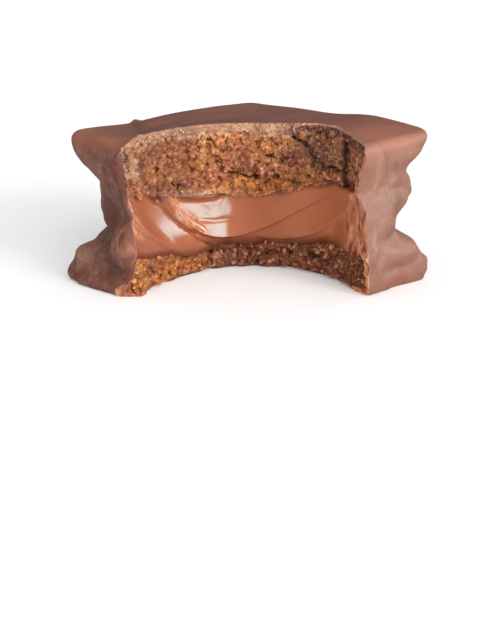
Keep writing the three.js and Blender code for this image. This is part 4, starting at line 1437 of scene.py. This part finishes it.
def on_biscuit(x, y, z):
    """In heaps, and more of them where the lid is moist and on the base."""
    u = to_bite(x, y)[0]
    heaps = 0.12 + 0.4 * ramp(noise(HEAPS, u, 0, z), 0, 0.6)
    return heaps + 0.5 * mauve_share(u, z) + 0.2 * (1 - ramp(z, 9, 12)) * ramp(u, -10, -4)


def on_break(x, y, z):
    """On the rim of the broken coating, and at its cut foot on both sides."""
    u = to_bite(x, y)[0]
    right = ramp(u, 20.2, 20.8) * (1 - ramp(z, 6, 9))
    left = ramp(-u, 20.5, 21.5) * (1 - ramp(z, 2.4, 3.4))
    rim = 0.35 * ramp(z, 29.2, 29.8) * (1 - ramp(u, 9, 14)) * ramp(u, -24, -21)
    return ramp(coat_depth(x, y, z), 0.25, 0.5) * np.max([right, left, rim], axis=0)


def scattered(name, carriers, values):
    """Loose grains. Each carrier has its share(x, y, z), how thickly they lie on it, and its largest."""
    pieces = []
    for carrier, share, largest in carriers:
        piece = bpy.data.objects.new(name, carrier.data.copy())
        scene.collection.objects.link(piece)
        x, y, z = points_of(piece).T
        near = (1 - ramp(behind_bite(x, y, z), *CRUMB_DEPTH)) * ramp(z, *OFF_FLOOR)
        store(piece, "scatter", near * share(x, y, z))
        run_tree(piece, scatter, {**values, "Largest": largest})
        pieces.append(piece)
    with bpy.context.temp_override(active_object=pieces[0], selected_editable_objects=pieces):
        bpy.ops.object.join()
    print(name, len(pieces[0].data.polygons), "faces")
    return pieces[0]


carriers = [(lid, on_biscuit, 0.00045), (base, on_biscuit, 0.0007), (coating, on_break, 0.0004)]
crumbs = scattered("crumbs", carriers, {
    "Spacing": 0.00055, "Density": 1800000.0, "Smallest": 0.00012, "Seed": 4, "Material": biscuit,
})
x, y, z = points_of(crumbs).T
u = to_bite(x, y)[0]
on_rim = ramp(z, 28.9, 29.5)
on_base = 0.3 * (1 - ramp(z, 9, 12)) * ramp(u, -8, 4)
store(crumbs, "shade", 0.4 * shaded_share(u, z))
store(crumbs, "pale", np.max([pale_share(u, z), on_rim, 0.9 * mauve_share(u, z), on_base], axis=0))

# %% [markdown]
# ## Light and stage
# Two suns light the object and show in no reflection: a low one from the right, which makes the
# right side bright and leaves the left side dark, and a wider one from the front. Two other lights
# show in reflections alone: a window, which lies as white patches on the cream, and a wide glow,
# which gives the chocolate its sheen. The window is bluish, because the brown below adds its own
# warm colour to the patch. The world is white where the camera sees it, dimmer where it lights, and
# dark in reflections, as the floor is, so the glossy cream stays brown.

# %% Stage
WHITE = (1, 1, 1, 1)
FLOOR_PALE = (0.95, 0.95, 0.95, 1)
FLOOR_REFLECTED = (0.18, 0.18, 0.18, 1)
FLOOR_GLOW = 0.12
FLOOR_REACH = 3000
FLOOR_LEVEL = -0.02  # just below the foot
AMBIENT, REFLECTED = 0.6, 0.2

floor_finish, tree, shader, place = new_material(
    "pale_floor", 0.9, specular_ior_level=0.0, emission_color=WHITE, emission_strength=FLOOR_GLOW)
light_path = tree.nodes.new("ShaderNodeLightPath").outputs
colour = tint(tree, FLOOR_PALE, FLOOR_REFLECTED, light_path["Is Glossy Ray"])
tree.links.new(colour, shader.inputs["Base Color"])
corners = [(FLOOR_REACH * a, FLOOR_REACH * b, FLOOR_LEVEL) for a, b in ((-1, -1), (1, -1), (1, 1), (-1, 1))]
floor = new_piece("floor", corners, [(0, 1, 2, 3)], floor_finish)

world = bpy.data.worlds.new("studio")
scene.world = world
world.use_nodes = True
tree = world.node_tree
background = tree.nodes["Background"].inputs
background["Color"].default_value = WHITE
light_path = tree.nodes.new("ShaderNodeLightPath").outputs
strength = math(tree, "MULTIPLY_ADD", light_path["Is Glossy Ray"], REFLECTED - AMBIENT, AMBIENT)
tree.links.new(math(tree, "MAXIMUM", strength, light_path["Is Camera Ray"]), background["Strength"])
scene.view_settings.view_transform = "Standard"

# %% Lights
DAYLIGHT = (0.54, 0.96, 1.0)


def new_light(name, kind, azimuth, rise, power, glossy, distance=0, **settings):
    """A light that faces the middle. azimuth is where it comes from, in degrees round from +X, and
    distance is in metres. It shows in reflections alone where it is glossy, and else in none."""
    data = bpy.data.lights.new(name, kind)
    for key, value in {"energy": power, **settings}.items():
        setattr(data, key, value)
    lamp = bpy.data.objects.new(name, data)
    scene.collection.objects.link(lamp)
    azimuth, rise = radians(azimuth), radians(rise)
    towards = Vector((cos(rise) * cos(azimuth), cos(rise) * sin(azimuth), sin(rise)))
    lamp.location = towards * distance
    lamp.rotation_euler = towards.to_track_quat("Z", "Y").to_euler()
    lamp.visible_glossy = glossy
    lamp.visible_diffuse = not glossy
    print(name, "shines from", [round(v, 2) for v in towards])


new_light("key", "SUN", 5, 16, 2.0, False, angle=radians(26))
new_light("broad", "SUN", -25, 25, 1.75, False, angle=radians(50))
new_light("window", "AREA", 8.5, 8, 40, True, 1.5, shape="RECTANGLE", size=1.5, size_y=0.8, color=DAYLIGHT)
new_light("glow", "SUN", 50, 12, 3.0, True, angle=radians(80))

# %% Riding and replacing
for piece, node, slot in (
    (coating, "coating", "milk_chocolate"), (lid, "biscuit_lid", "cocoa_biscuit"),
    (cream, "cream", "hazelnut_cream"), (base, "biscuit_base", "cocoa_biscuit"),
):
    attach(piece, "root")
    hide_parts(node)
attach(crumbs, "root")
